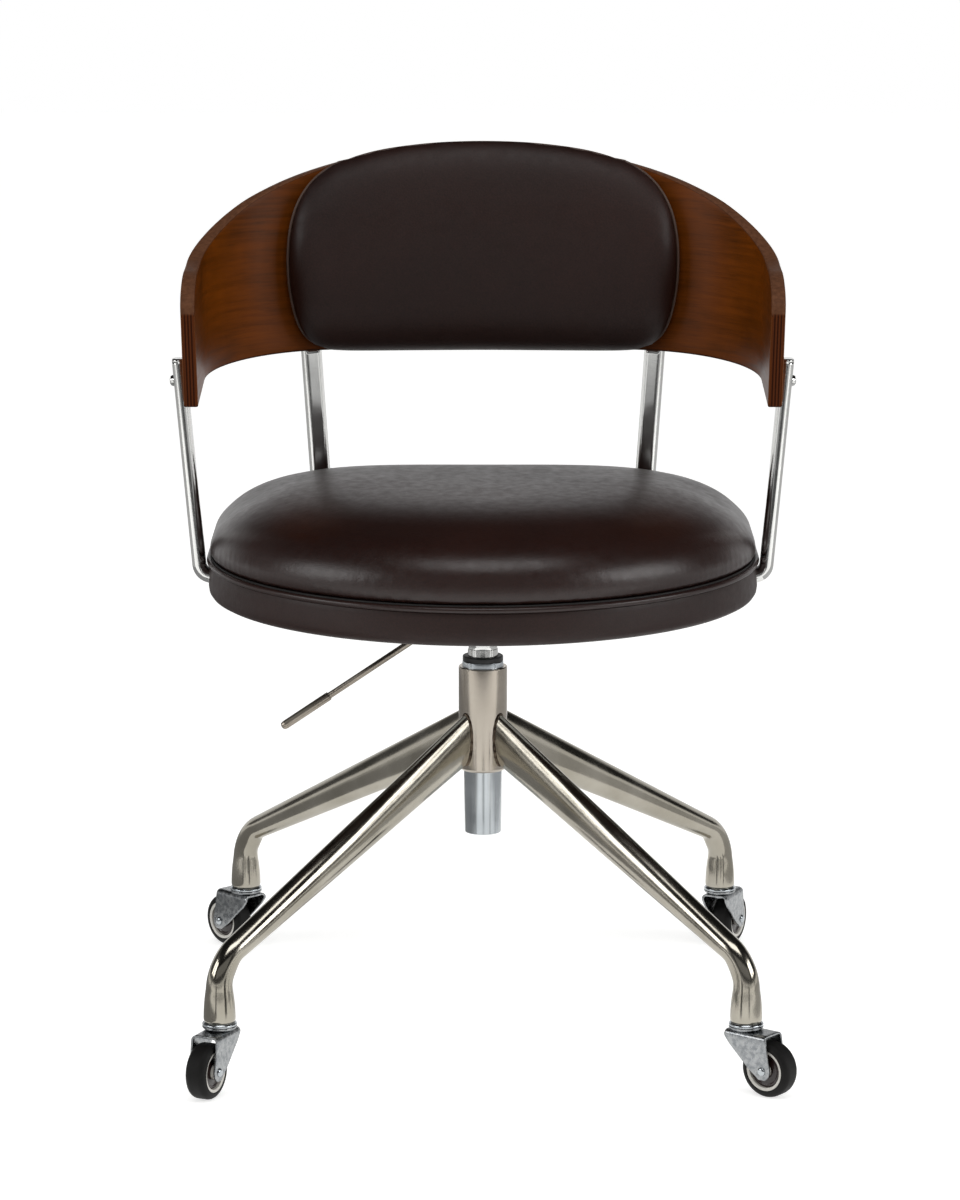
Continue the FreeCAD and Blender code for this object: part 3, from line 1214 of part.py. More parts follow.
def bored(shape, places, radius, start, end):
    """Shape with a hole along each placement's Z axis from start to end."""
    for place in places:
        shape = shape.cut(placed(Part.makeCylinder(radius, end - start, Vector(0, 0, start)), place))
    return shape


def back_shell():
    """Bent plywood with the inserts' blind holes and the pad screws' holes."""
    shell = shell_band(0, size("shell_thickness")).common(above_edge(0))
    shell = shell.cut(over_edge()).cut(arm_ends())
    shell = bored(shell, INSERT_PLACES, size("nut_barrel / 2 + press_gap"), -size("soft_gap"),
                  size("insert_length + pad_board"))
    return bored(shell, PAD_SCREW_PLACES, size("pad_screw_diameter / 2 + press_gap"),
                 -size("2 * shell_thickness"), size("pad_board"))


solid("back_shell", back_shell())
pad_screw_pattern = turned("pad_screw_pattern", [
    ("0", "0 - shell_thickness - soft_gap - pad_board"),
    ("pad_screw_diameter / 2", "0 - shell_thickness - soft_gap - pad_board"),
    ("pad_screw_diameter / 2", "0"),
    ("pad_screw_head / 2", "0"),
    ("pad_screw_head / 2 - 1", "pad_screw_head_height"),
    ("0", "pad_screw_head_height"),
], exported=False)
group("pad_screws", copies(pad_screw_pattern, PAD_SCREW_PLACES))

# Pad's outline: distance from the middle, lower edge, upper edge, and thickness, as shares.
PAD_STATIONS = [
    (0.0, 0, 1, 1), (0.25, 0, 0.985, 1), (0.5, 0, 0.945, 1), (0.7, 0, 0.895, 0.98),
    (0.84, 0.005, 0.82, 0.93), (0.92, 0.045, 0.755, 0.82), (0.965, 0.11, 0.69, 0.62),
    (0.99, 0.2, 0.6, 0.38), (1.0, 0.3, 0.5, 0.2),
]


def pad_point(sign, x, z, depth):
    """Point a depth in front of the shell's inner face; x is counted along that face."""
    climb = z - size(SHELL_REFERENCE)
    y = REAR_CORNER_Y + math.tan(LEAN) * climb
    radius = size("shell_corner") - depth
    turn = max(0, x - ARM_CORNER_X) / size("shell_corner")
    along = min(x, ARM_CORNER_X) + (math.tan(FLARE) * climb if turn else 0)
    return Vector(sign * (along + radius * math.sin(turn)), y + radius * math.cos(turn), z)


def pad_section(sign, x, low, high, depth):
    """Upright section of the pad: flat rear, crowned front, rounded top and bottom."""
    def at(share, thickness):
        return pad_point(sign, x, low + (high - low) * share, thickness)

    edge = size("pad_board") + 1
    corners = [at(0, -6), at(0, edge), at(0.12, depth * 0.9), at(0.7, depth * 0.93), at(1, edge), at(1, -6)]
    return Part.Wire([
        Part.makeLine(corners[0], corners[1]),
        Part.Arc(corners[1], at(0.03, depth * 0.62), corners[2]).toShape(),
        Part.Arc(corners[2], at(0.4, depth), corners[3]).toShape(),
        Part.Arc(corners[3], at(0.89, depth * 0.64), corners[4]).toShape(),
        Part.makeLine(corners[4], corners[5]),
        Part.makeLine(corners[5], corners[0]),
    ])


def back_pad():
    """Cushion that follows the shell, its rear face resting on the pad's board."""
    low, height = size(PAD_FOOT), size("pad_height")
    reach, depth = size(PAD_HALF), size("pad_thickness")
    stations = [(-1, *station) for station in PAD_STATIONS[:0:-1]]
    stations += [(1, *station) for station in PAD_STATIONS]
    sections = []
    for sign, out, bottom, top, full in stations:
        thickness = max(depth * full, size("pad_board") + 3)
        sections.append(pad_section(sign, reach * out, low + height * bottom, low + height * top, thickness))
    cushion = Part.makeLoft(sections, True, True)
    return cushion.cut(shell_band(-size("pad_board + 2 * soft_gap"), size("3 * shell_thickness")))


def pad_board():
    """Thin bent board inside the pad's outline, bored for the pad screws."""
    low, height = size(PAD_FOOT), size("pad_height")
    margin = size("pad_board_margin")
    reach = size(PAD_HALF) - margin
    inner = 0.85 * ARM_CORNER_X
    corners = [(-inner, 0.1), (inner, 0.1), (reach, 0.24), (reach, 0.6), (inner, 0.82), (-inner, 0.82),
               (-reach, 0.6), (-reach, 0.24)]
    outline = [Vector(x, 0, low + height * z) for x, z in corners]
    face = Part.Face(Part.makePolygon(outline + outline[:1]))
    board = face.extrude(Vector(0, BEYOND, 0))
    board = board.common(shell_band(-size("pad_board + soft_gap"), -size("soft_gap")))
    return bored(board, PAD_SCREW_PLACES, size("pad_screw_diameter / 2 + press_gap"),
                 -size("2 * shell_thickness"), 0)


solid("back_pad", back_pad())
solid("back_pad_board", pad_board())
doc.recompute()

os.makedirs("parts", exist_ok=True)
for item in doc.Objects:
    if "Invalid" in item.State or "Error" in item.State:
        raise RuntimeError(f"{item.Label} ({item.Name}) failed: {item.State}")
for item in PARTS:
    if item.Shape.isNull() or not item.Shape.isValid():
        raise RuntimeError(f"{item.Label} has no valid shape")
    item.Shape.exportStep(f"parts/{item.Label}.step")
print(len(PARTS), "sub-parts written")
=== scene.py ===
"""Office chair: leather seat and back pad, walnut-stained bent plywood, bright tube posts and legs.

Sizes are millimetres in the CAD frame: +Z up, the chair's front faces -Y, origin on the floor under
the column. Meshes are written in metres when they are made.
"""
import math
from functools import partial

import bpy
import numpy as np
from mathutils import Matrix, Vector, noise


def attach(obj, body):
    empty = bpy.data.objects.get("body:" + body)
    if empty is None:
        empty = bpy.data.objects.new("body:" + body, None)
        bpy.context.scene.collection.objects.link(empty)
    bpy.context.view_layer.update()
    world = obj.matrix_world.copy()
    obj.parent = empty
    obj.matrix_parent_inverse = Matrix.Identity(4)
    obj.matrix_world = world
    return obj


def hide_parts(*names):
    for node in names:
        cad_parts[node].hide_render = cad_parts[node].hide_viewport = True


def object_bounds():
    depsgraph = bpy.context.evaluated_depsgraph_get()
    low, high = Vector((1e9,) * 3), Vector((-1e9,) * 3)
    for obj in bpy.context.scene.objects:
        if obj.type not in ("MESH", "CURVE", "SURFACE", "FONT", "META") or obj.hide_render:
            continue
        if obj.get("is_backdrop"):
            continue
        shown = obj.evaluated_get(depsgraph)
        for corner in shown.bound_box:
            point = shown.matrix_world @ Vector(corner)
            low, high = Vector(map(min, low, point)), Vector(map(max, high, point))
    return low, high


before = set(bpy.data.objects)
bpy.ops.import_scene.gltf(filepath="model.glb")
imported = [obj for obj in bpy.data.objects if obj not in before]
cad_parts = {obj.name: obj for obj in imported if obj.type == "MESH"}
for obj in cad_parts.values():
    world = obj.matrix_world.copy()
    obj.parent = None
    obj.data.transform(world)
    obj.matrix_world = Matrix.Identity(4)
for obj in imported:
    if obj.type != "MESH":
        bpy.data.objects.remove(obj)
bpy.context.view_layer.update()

# Legs: four steel tubes, flattened and tall where they are welded to the hub, round at the foot. The
# foot is bent straight down and swells into a bell that holds the caster's stem. Plated a warm nickel.
CORNERS = {"front_left": (-1, -1), "front_right": (1, -1), "rear_left": (-1, 1), "rear_right": (1, 1)}
SPREAD = 233.5
REACH = SPREAD * math.sqrt(2)
LEG_SLOPE = math.radians(26.3)
LEG_Z = 269
LEG_HUB, LEG_FOOT = (43, 14), (22.0, 22.5)
LEG_LAP, LEG_ROUND = 0.045, 0.5
LEG_BEND, LEG_CREASE = 36.0, 0.25
LEG_WAIST, LEG_ANKLE = 4.4, 24.0
HUB_RADIUS = 22.5
BEAD, BEAD_UNEVEN = 1.5, 0.35
BELL = [(93, 24.3), (90, 25.1), (86, 26.2), (82, 27.1), (78, 27.8), (74, 28.3), (70, 28.6), (67.5, 28.7),
        (66, 28.6), (64.9, 28.1), (64.4, 27.3), (64.15, 26.2)]


def colour(code):
    """Linear RGBA of a hex sRGB colour."""
    values = [int(code[i:i + 2], 16) / 255 for i in (1, 3, 5)]
    return [*(v / 12.92 if v <= 0.04045 else ((v + 0.055) / 1.055) ** 2.4 for v in values), 1]


def feed(owner, node, inputs):
    """Set a node's inputs; each is a value or another node's output."""
    for socket, value in inputs.items():
        if isinstance(value, bpy.types.NodeSocket):
            owner.node_tree.links.new(value, node.inputs[socket])
        else:
            node.inputs[socket].default_value = value


def add(owner, kind, inputs=None, **settings):
    """Add a shader node."""
    node = owner.node_tree.nodes.new("ShaderNode" + kind)
    for key, value in settings.items():
        setattr(node, key, value)
    feed(owner, node, inputs or {})
    return node


def new_material(name):
    """Empty material and its Principled shader, already wired to the output."""
    material = bpy.data.materials.new(name)
    material.use_nodes = True
    material.node_tree.nodes.clear()
    shader = add(material, "BsdfPrincipled")
    add(material, "OutputMaterial", {0: shader.outputs[0]})
    return material, shader


def mottle(material, place, scale, detail, roughness=0.5):
    """Noise value over a piece."""
    return add(material, "TexNoise", {"Vector": place, "Scale": scale, "Detail": detail,
                                      "Roughness": roughness}).outputs[0]


def ramp(material, value, stops):
    """Colour ramp over a value; each stop is (position, hex colour)."""
    node = add(material, "ValToRGB", {0: value})
    elements = node.color_ramp.elements
    while len(elements) < len(stops):
        elements.new(0.5)
    for element, (position, code) in zip(elements, stops):
        element.position = position
        element.color = colour(code)
    return node.outputs[0]


def spread_range(material, value, low, high, start=0.3, end=0.7):
    """Map a noise value to a range."""
    return add(material, "MapRange", {0: value, 1: start, 2: end, 3: low, 4: high}).outputs[0]


def metal(name, light, dark, rough, grain=800, bump=0.02, cloud=22):
    """Plated metal: two close tones, uneven polish and a fine surface grain."""
    material, shader = new_material(name)
    place = add(material, "TexCoord").outputs["Object"]
    clouds, fine = mottle(material, place, cloud, 4), mottle(material, place, grain, 5)
    bumps = add(material, "Bump", {"Height": fine, "Strength": bump, "Distance": 0.0004})
    feed(material, shader, {
        "Base Color": ramp(material, clouds, [(0.35, dark), (0.65, light)]), "Metallic": 1,
        "Roughness": spread_range(material, clouds, *rough), "Normal": bumps.outputs[0]})
    return material


def make(name, points, faces):
    """Smooth-shaded mesh object from points in millimetres."""
    mesh = bpy.data.meshes.new(name)
    mesh.from_pydata((np.asarray(points, float).reshape(-1, 3) / 1000).tolist(), [], faces)
    mesh.validate()
    mesh.polygons.foreach_set("use_smooth", [True] * len(mesh.polygons))
    obj = bpy.data.objects.new(name, mesh)
    bpy.context.scene.collection.objects.link(obj)
    return obj


def outwards(obj):
    """Turn all faces of a closed mesh outwards."""
    bpy.context.view_layer.objects.active = obj
    bpy.ops.object.mode_set(mode="EDIT")
    bpy.ops.mesh.select_all(action="SELECT")
    bpy.ops.mesh.normals_make_consistent(inside=False)
    bpy.ops.object.mode_set(mode="OBJECT")
    return obj


def finish(obj, body, material, slot, *replaced):
    """Give a piece its material, its body and the CAD nodes it stands for; its slot is not used."""
    if material is not None:
        obj.data.materials.append(material)
    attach(obj, body)
    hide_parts(*replaced)


def skin(rings, closed=False):
    """Points and faces of a surface through rings of equal length, its ends capped unless it closes."""
    rings = np.asarray(rings, float)
    count, size = rings.shape[:2]
    faces = []
    for i in range(count if closed else count - 1):
        low, high = i * size, (i + 1) % count * size
        faces += [(low + j, low + (j + 1) % size, high + (j + 1) % size, high + j) for j in range(size)]
    if not closed:
        faces.append(tuple(range(size))[::-1])
        faces.append(tuple(range((count - 1) * size, count * size)))
    return rings.reshape(-1, 3), faces


def cord(path, across, up, radius, sides):
    """Points and faces of a closed round cord; across and up are two directions at each of its points."""
    angles = np.arange(sides) * math.tau / sides
    rings = [[p + r * (math.cos(b) * a + math.sin(b) * u) for b in angles]
             for p, a, u, r in zip(path, across, up, np.broadcast_to(radius, len(path)))]
    return skin(rings, closed=True)


def directions(path):
    """Unit directions along a closed path."""
    along = np.roll(path, -1, 0) - np.roll(path, 1, 0)
    return along / np.linalg.norm(along, axis=1)[:, None]


def turn(points, degrees, origin=(0, 0)):
    """Points turned about the vertical axis and set on an origin on the floor."""
    a = math.radians(degrees)
    x, y = points[..., 0], points[..., 1]
    return np.stack([x * math.cos(a) - y * math.sin(a) + origin[0],
                     x * math.sin(a) + y * math.cos(a) + origin[1], points[..., 2]], -1)


def bent_size(straight, share):
    """Width of the tube at a share of its bend: drawn in a little, then widened to the ankle."""
    return straight - (LEG_WAIST - (LEG_ANKLE - straight + LEG_WAIST) * share) * share


def leg_rings():
    """Sections of a leg that lies along +X, from inside the hub to the foot's lower rim."""
    turned = math.pi / 2 - LEG_SLOPE
    straight = REACH - LEG_BEND * math.tan(turned / 2) * math.cos(LEG_SLOPE)
    stations = []
    for share in np.linspace(-LEG_LAP, 1, 60):
        r = HUB_RADIUS + (straight - HUB_RADIUS) * share
        z = LEG_Z - (r - HUB_RADIUS) * math.tan(LEG_SLOPE)
        tall = LEG_HUB[0] + (LEG_FOOT[0] - LEG_HUB[0]) * share
        wide = LEG_HUB[1] + (LEG_FOOT[1] - LEG_HUB[1]) * min(1, max(0, share) / LEG_ROUND)
        stations.append((r, z, LEG_SLOPE, tall, wide, 1))
    end_z = LEG_Z - (straight - HUB_RADIUS) * math.tan(LEG_SLOPE)
    centre = (straight - LEG_BEND * math.sin(LEG_SLOPE), end_z - LEG_BEND * math.cos(LEG_SLOPE))
    for share in np.linspace(0.06, 1, 16):
        fall = LEG_SLOPE + turned * share
        stations.append((centre[0] + LEG_BEND * math.sin(fall), centre[1] + LEG_BEND * math.cos(fall), fall,
                         bent_size(LEG_FOOT[0], share), bent_size(LEG_FOOT[1], share),
                         1 + LEG_CREASE * math.sin(math.pi * share) ** 2))
    stations += [(REACH, z, math.pi / 2, d, d, 1) for z, d in BELL if z < stations[-1][1] - 1]
    angles = np.arange(64) * math.tau / 64
    rings = []
    for r, z, fall, tall, wide, inner in stations:
        up, side = np.cos(angles) * tall / 2, np.sin(angles) * wide / 2
        up = np.where(up < 0, up * inner, up)
        rings.append(np.stack([r + up * math.sin(fall), side, z + up * math.cos(fall)], 1))
    return np.array(rings)


def leg_weld():
    """Bead along the line where a leg meets the hub."""
    centre = []
    for a in np.arange(72) * math.tau / 72:
        up, side = math.cos(a) * LEG_HUB[0] / 2, math.sin(a) * LEG_HUB[1] / 2
        r = math.sqrt(HUB_RADIUS ** 2 - side ** 2)
        slack = (r - (HUB_RADIUS + up * math.sin(LEG_SLOPE))) / math.cos(LEG_SLOPE)
        centre.append((r, side, LEG_Z + up * math.cos(LEG_SLOPE) - slack * math.sin(LEG_SLOPE)))
    centre = np.array(centre)
    out = centre * (1, 1, 0)
    out /= np.linalg.norm(out, axis=1)[:, None]
    sizes = [BEAD + BEAD_UNEVEN * noise.noise(Vector((i * 0.9, 3.1, 0.4))) for i in range(len(centre))]
    return cord(centre, out, np.cross(directions(centre), out), sizes, 8)


NICKEL = metal("nickel plate", "#aea99e", "#9c978b", (0.11, 0.22), 300, 0.05)
# The bead's near-black tones are partly its heat tint and partly painted shade for the crevice where a leg
# meets the hub.
WELD_AND_SHADE = metal("heat-tinted weld with painted shade", "#6a5d50", "#2b241e", (0.25, 0.42), 520, 0.3, 240)
for corner, (side, depth) in CORNERS.items():
    heading = math.degrees(math.atan2(depth, side))
    points, faces = skin(leg_rings())
    leg = outwards(make("tube_leg_" + corner, turn(points, heading), faces))
    finish(leg, "base", NICKEL, "nickel_steel", "leg_" + corner)
    points, faces = leg_weld()
    bead = outwards(make("weld_" + corner, turn(points, heading), faces))
    finish(bead, "base", WELD_AND_SHADE, "nickel_steel")


# Hub: short steel tube that the legs are welded to, plated together with them in the same warm nickel. Its
# upper rim is turned over a little and its bore grips the stand tube.
HUB = [(17.6, 239), (20, 238), (HUB_RADIUS, 240.6), (HUB_RADIUS, 335.4), (21.9, 336), (18.8, 336)]


def soften(points, ease, steps=4):
    """Round the corners of a closed outline."""
    points = [np.asarray(p, float) for p in points]
    made = []
    for i, point in enumerate(points):
        a, b = points[i - 1] - point, points[(i + 1) % len(points)] - point
        length_a, length_b = np.linalg.norm(a), np.linalg.norm(b)
        cut = min(ease, 0.45 * length_a, 0.45 * length_b)
        start, end = point + a / length_a * cut, point + b / length_b * cut
        for t in np.linspace(0, 1, steps + 1):
            made.append((1 - t) ** 2 * start + 2 * t * (1 - t) * point + t * t * end)
    return np.array(made)


def lathe(name, outline, ease=0.5, segments=96, place=None):
    """Turned piece from a closed outline of (radius, height), its corners rounded by ease."""
    outline = soften([(max(r, 0.02), z) for r, z in outline], ease)
    rings = np.stack([np.stack([outline[:, 0] * math.cos(a), outline[:, 0] * math.sin(a), outline[:, 1]], 1)
                      for a in np.arange(segments) * math.tau / segments])
    points, faces = skin(rings, closed=True)
    return make(name, points if place is None else place(points), faces)


HUB_NICKEL = metal("nickel plate, satin", "#b5ada2", "#a39b90", (0.12, 0.24), 300, 0.04)
finish(lathe("hub", HUB, 0.6), "base", HUB_NICKEL, "nickel_steel", "hub_sleeve")

# Stand tube: zinc-plated steel tube, a little tapered and pressed into the hub. It shows under the hub and
# as a bright ring over it.
STAND = [(15.6, 178.5), (17, 178.5), (19.25, 336), (18.9, 341), (15.6, 341)]
ZINC = metal("zinc plate", "#bec3c6", "#a9aeb2", (0.14, 0.26), 480, 0.04)
finish(lathe("stand_tube", STAND), "base", ZINC, "zinc_steel", "column_tube")


# Guide bush: black plastic collar, moulded in one with the sleeve under it. It is pushed into the top of
# the stand tube, and the cylinder slides in it.
COLLAR = [(14.05, 295), (15.5, 295), (15.5, 341.1), (18.75, 341.1), (18.75, 345.4), (17.8, 346), (14.05, 346)]


def moulded(name, tone, rough, specks=0.08, coat=0.0, shine=0.5):
    """Moulded plastic or rubber with a faint mottled sheen."""
    material, shader = new_material(name)
    place = add(material, "TexCoord").outputs["Object"]
    fine, clouds = mottle(material, place, 900, 3), mottle(material, place, 60, 3)
    bumps = add(material, "Bump", {"Height": fine, "Strength": specks, "Distance": 0.0003})
    feed(material, shader, {
        "Base Color": colour(tone), "Coat Weight": coat, "Specular IOR Level": shine,
        "Roughness": spread_range(material, clouds, rough - 0.07, rough + 0.07), "Normal": bumps.outputs[0]})
    return material


BLACK_PLASTIC = moulded("black plastic", "#111111", 0.42)
finish(lathe("collar", COLLAR, 0.7), "base", BLACK_PLASTIC, "black_plastic", "guide_bush")

# Gas cylinder: ground and chromed steel tube with a ring groove near its top, where it tapers into the
# seat's socket. Between the collar and the seat it is in sight.
CYLINDER = [(5.05, 214.4), (14, 214.4), (14, 352.5), (13.2, 352.5), (13.2, 355.5), (14, 355.5), (14, 362),
            (13, 396), (3.05, 396), (3.05, 370), (12, 366), (12, 218.4), (5.05, 218.4)]
CHROME = metal("chrome plate", "#dcdcda", "#cfcfcd", (0.05, 0.11), 600, 0.008)
finish(lathe("gas_spring", CYLINDER, 0.25), "seat", CHROME, "zinc_steel", "gas_cylinder")

# Casters: pressed, zinc-plated fork with rounded shoulders and a ball race on top, riveted axle, and a
# wheel with an off-white core, a dark tyre and brown covers in the core's recesses. TRAIL is the heading
# of each wheel from its stem, in degrees from +X.
TRAIL = {"front_left": -114.5, "front_right": -38, "rear_left": 134, "rear_right": 65}
FORK_HALF, FORK_LOW, FORK_TOP, FORK_SHEET = 11.2, 17, 57.0, 2.0
FORK_SHOULDER = 4.5
FORK_FRONT = ([17, 19, 25, 45, 52, 57], [22.6, 20.4, 12.0, -9.5, -15.0, -14.2])
FORK_REAR = ([17, 19, 22, 25, 29, 40, 57], [29.4, 31.8, 33.7, 34.3, 34.0, 31.5, 29.0])
AXLE_X, AXLE_Z, AXLE_RADIUS = 26, 25, 2.5
TYRE_BORE, TYRE_HALF, TREAD_FLAT, TREAD_EASE = 18.5, 10, 4, 6
LOWER_RACE = [(5.6, 57), (13.2, 57), (15.5, 58.6), (15.5, 60.4), (5.6, 60.4)]
UPPER_RACE = [(5.5, 60.7), (15.5, 60.7), (15.5, 62.4), (13.6, 64.1), (5.5, 64.1)]
STEM = [(0, 52), (6, 52), (7, 53.2), (7, 54.4), (5.5, 54.4), (5.5, 84), (0, 84)]
AXLE_HALF = [(4, 13.2), (3.7, 14.2), (2.4, 15.1), (0, 15.4)]
CORE_HALF = [(2.55, 10.5), (6.5, 10.5), (6.5, 2.5), (15.75, 2.5), (15.75, 9), (18.48, 9.6)]
DISH = [(6.55, 2.5), (15.7, 2.5), (15.7, 6.6), (13.4, 7.4), (12.2, 6.5), (7.6, 7.6), (6.55, 7.6)]


def fork_mesh():
    """Sheet of the fork in its own frame, swivel axis at the origin, trailing along +X."""
    outer = FORK_HALF + FORK_SHEET
    side = [(-outer, z) for z in np.linspace(FORK_LOW, FORK_TOP - 6, 22)]
    side += [(-outer + FORK_SHOULDER * (1 - math.cos(a)), FORK_TOP - FORK_SHOULDER * (1 - math.sin(a)))
             for a in np.linspace(0.12, math.pi / 2, 7)]
    top = [(y, FORK_TOP) for y in np.linspace(FORK_SHOULDER + 1 - outer, outer - FORK_SHOULDER - 1, 9)]
    path = side + top + [(-y, z) for y, z in side[::-1]]
    fronts, rears = ([np.interp(z, *edge) for _, z in path] for edge in (FORK_FRONT, FORK_REAR))
    rings = np.array([[(x, y, z) for x in np.linspace(front, rear, 14)]
                      for (y, z), front, rear in zip(path, fronts, rears)])
    count, size = rings.shape[:2]
    faces = [(i * size + j, i * size + j + 1, (i + 1) * size + j + 1, (i + 1) * size + j)
             for i in range(count - 1) for j in range(size - 1)]
    return rings.reshape(-1, 3), faces


def on_caster_axle(points, degrees, origin):
    """Points of a turned piece laid on a caster's axle."""
    laid = np.stack([points[:, 0] + AXLE_X, -points[:, 2], points[:, 1] + AXLE_Z], 1)
    return turn(laid, degrees, origin)


def join(name, objects):
    """Join several meshes into one piece."""
    for obj in bpy.context.selected_objects:
        obj.select_set(False)
    for obj in objects:
        obj.select_set(True)
    bpy.context.view_layer.objects.active = objects[0]
    bpy.ops.object.join()
    objects[0].name = objects[0].data.name = name
    return objects[0]


FORK_ZINC = metal("cast zinc finish", "#a6a8a9", "#808386", (0.18, 0.34), 840, 0.2, 240)
TYRE = moulded("tyre tread", "#0e0d0c", 0.6, 0.3, 0.0, 0.22)
CORE = moulded("off-white core", "#d4d1ca", 0.3, 0.03)
COVER = moulded("brown cover", "#20100e", 0.28, 0.05, 0.2)
for corner, (side, depth) in CORNERS.items():
    spot = {"degrees": TRAIL[corner], "origin": (side * SPREAD, depth * SPREAD)}
    upright, on_axle = partial(turn, **spot), partial(on_caster_axle, **spot)
    body, wheel = "caster_" + corner, "wheel_" + corner
    points, faces = fork_mesh()
    fork = make("fork_" + corner, upright(points), faces)
    wall = fork.modifiers.new("wall", "SOLIDIFY")
    wall.thickness, wall.offset = FORK_SHEET / 1000, -1
    edge = fork.modifiers.new("edge", "BEVEL")
    edge.width, edge.segments, edge.limit_method, edge.angle_limit = 0.0005, 2, "ANGLE", math.radians(50)
    finish(fork, body, FORK_ZINC, "zinc_steel", "caster_fork_" + corner)
    finish(lathe("race_" + corner, LOWER_RACE, 0.7, 64, upright), body, FORK_ZINC, "zinc_steel")
    stem = join("stem_" + corner, [lathe("stem_" + corner, STEM, 0.5, 48, upright),
                                   lathe("upper_race_" + corner, UPPER_RACE, 0.7, 64, upright)])
    finish(stem, "base", ZINC, "zinc_steel", "caster_stems")
    outer = FORK_HALF + FORK_SHEET
    axle = [(r, -z) for r, z in AXLE_HALF[::-1]] + [(AXLE_RADIUS, -outer), (AXLE_RADIUS, outer)] + AXLE_HALF
    finish(lathe("axle_" + corner, axle, 0.5, 40, on_axle), body, ZINC, "zinc_steel", "caster_axle_" + corner)
    crown = [(AXLE_Z - TREAD_EASE * (1 - math.cos(a)), TREAD_FLAT + TREAD_EASE * math.sin(a))
             for a in np.linspace(0, 1.45, 9)]
    tread = [(r, -z) for r, z in crown[::-1]] + crown
    tread = [(TYRE_BORE, -TYRE_HALF), *tread, (TYRE_BORE, TYRE_HALF)]
    finish(lathe("tyre_" + corner, tread, 0.6, 96, on_axle), wheel, TYRE, "tyre_rubber",
           "caster_tyre_" + corner)
    core = [(r, -z) for r, z in CORE_HALF] + CORE_HALF[::-1]
    finish(lathe("core_" + corner, core, 0.5, 80, on_axle), wheel, CORE, "core_plastic",
           "caster_core_" + corner)
    discs = [lathe("disc_" + corner, [(r, z * flip) for r, z in DISH], 0.5, 64, on_axle) for flip in (1, -1)]
    finish(join("cover_" + corner, discs), wheel, COVER, "cover_plastic", "caster_cover_" + corner)

# Posts: flat-oval chromed tube, run under the seat, bent up and outwards, its upper end pressed against
# the shell and closed by a cap. Two carry the arms, two the rear corners. The shell's own measures come
# first, as the posts follow them.
SHELL_Z, CORNER_X, CORNER_Y, INNER_RADIUS, THICK = 600, 128.7, 69, 130, 13.0
FLARE, LEAN = math.tan(math.radians(1.5)), math.tan(math.radians(4.9))
SHELL_LOW, SHELL_RISE, ARM_FRONT = 583, math.tan(math.radians(4.4)), 36
POST_BEND, POST_HALF, POST_FLAT = 12, 6.25, 3.75
SEAT_Z = 428
POST_REFERENCE = 440
# For each post: its place at the reference height, lean, inner end, top and drop; heading, origin, roll.
POSTS = {
    "arm_post_left": ((267.7, 5, 100, 621, 0), 180, (0, -5), 0),
    "arm_post_right": ((267.7, 5, 100, 621, 0), 0, (0, -5), 0),
    "rear_post_left": ((150.5, 1.46, 30, 640, 1.1), 105, (-CORNER_X, CORNER_Y), -3.6),
    "rear_post_right": ((150.5, 1.46, 30, 640, 1.1), 75, (CORNER_X, CORNER_Y), 3.6),
}
OVAL = [(POST_FLAT + POST_HALF * math.sin(b), -POST_HALF * math.cos(b)) for b in np.linspace(0, math.pi, 17)]
OVAL = np.array(OVAL + [(-y, -w) for y, w in OVAL])


def shell_edge(y):
    """Height of the shell's lower edge."""
    return SHELL_LOW + SHELL_RISE * (y + ARM_FRONT)


def post_points(foot, lean, start, top_z, drop):
    """Sections of a post in its own frame: X outwards, Z up."""
    tilt = math.radians(lean)
    run_z = SEAT_Z - POST_HALF - drop
    middle = foot - POST_HALF / math.cos(tilt)
    knee = middle - (POST_REFERENCE - run_z) * math.tan(tilt)
    tangent = POST_BEND * math.tan((math.pi / 2 - tilt) / 2)
    stations = [(x, run_z, 0) for x in np.linspace(start, knee - tangent, 24)]
    centre = (knee - tangent, run_z + POST_BEND)
    for share in np.linspace(0.05, 1, 18):
        a = (math.pi / 2 - tilt) * share
        stations.append((centre[0] + POST_BEND * math.sin(a), centre[1] - POST_BEND * math.cos(a), a))
    for z in np.linspace(stations[-1][1] + 2, top_z, 90):
        stations.append((middle + (z - POST_REFERENCE) * math.tan(tilt), z, math.pi / 2 - tilt))
    return np.array([[(x - w * math.sin(a), y, z + w * math.cos(a)) for y, w in OVAL]
                     for x, z, a in stations])


def cap_points(foot, lean, start, top_z, drop):
    """Sections of the cap on a post's top."""
    tilt = math.radians(lean)
    x = foot + (top_z - POST_REFERENCE) * math.tan(tilt) - POST_HALF / math.cos(tilt)
    return np.array([[(x - w * scale, y * scale, top_z + height) for y, w in OVAL]
                     for height, scale in ((0, 0.97), (0.3, 1.0), (1.6, 1.0), (2.0, 0.95))])


def rolled(points, degrees, top_z):
    """Points rolled about the post's own X axis at its top."""
    a = math.radians(degrees)
    y, z = points[..., 1], points[..., 2] - top_z
    return np.stack([points[..., 0], y * math.cos(a) - z * math.sin(a),
                     y * math.sin(a) + z * math.cos(a) + top_z], -1)


def against_shell(points, slack=0.05):
    """Press what lies above the shell's lower edge out of the shell."""
    climb = points[:, 2] - SHELL_Z
    dx = np.maximum(np.abs(points[:, 0]) - CORNER_X - FLARE * climb, 0)
    dy = np.maximum(points[:, 1] - CORNER_Y - LEAN * climb, 0)
    distance = np.maximum(np.hypot(dx, dy), 1e-6)
    direction = np.stack([np.sign(points[:, 0]) * dx / distance, dy / distance, np.zeros(len(points))], 1)
    inside = INNER_RADIUS + THICK + slack - distance
    push = np.where((points[:, 2] > shell_edge(points[:, 1]) - 1) & (inside > 0), inside, 0)
    return points + direction * push[:, None]


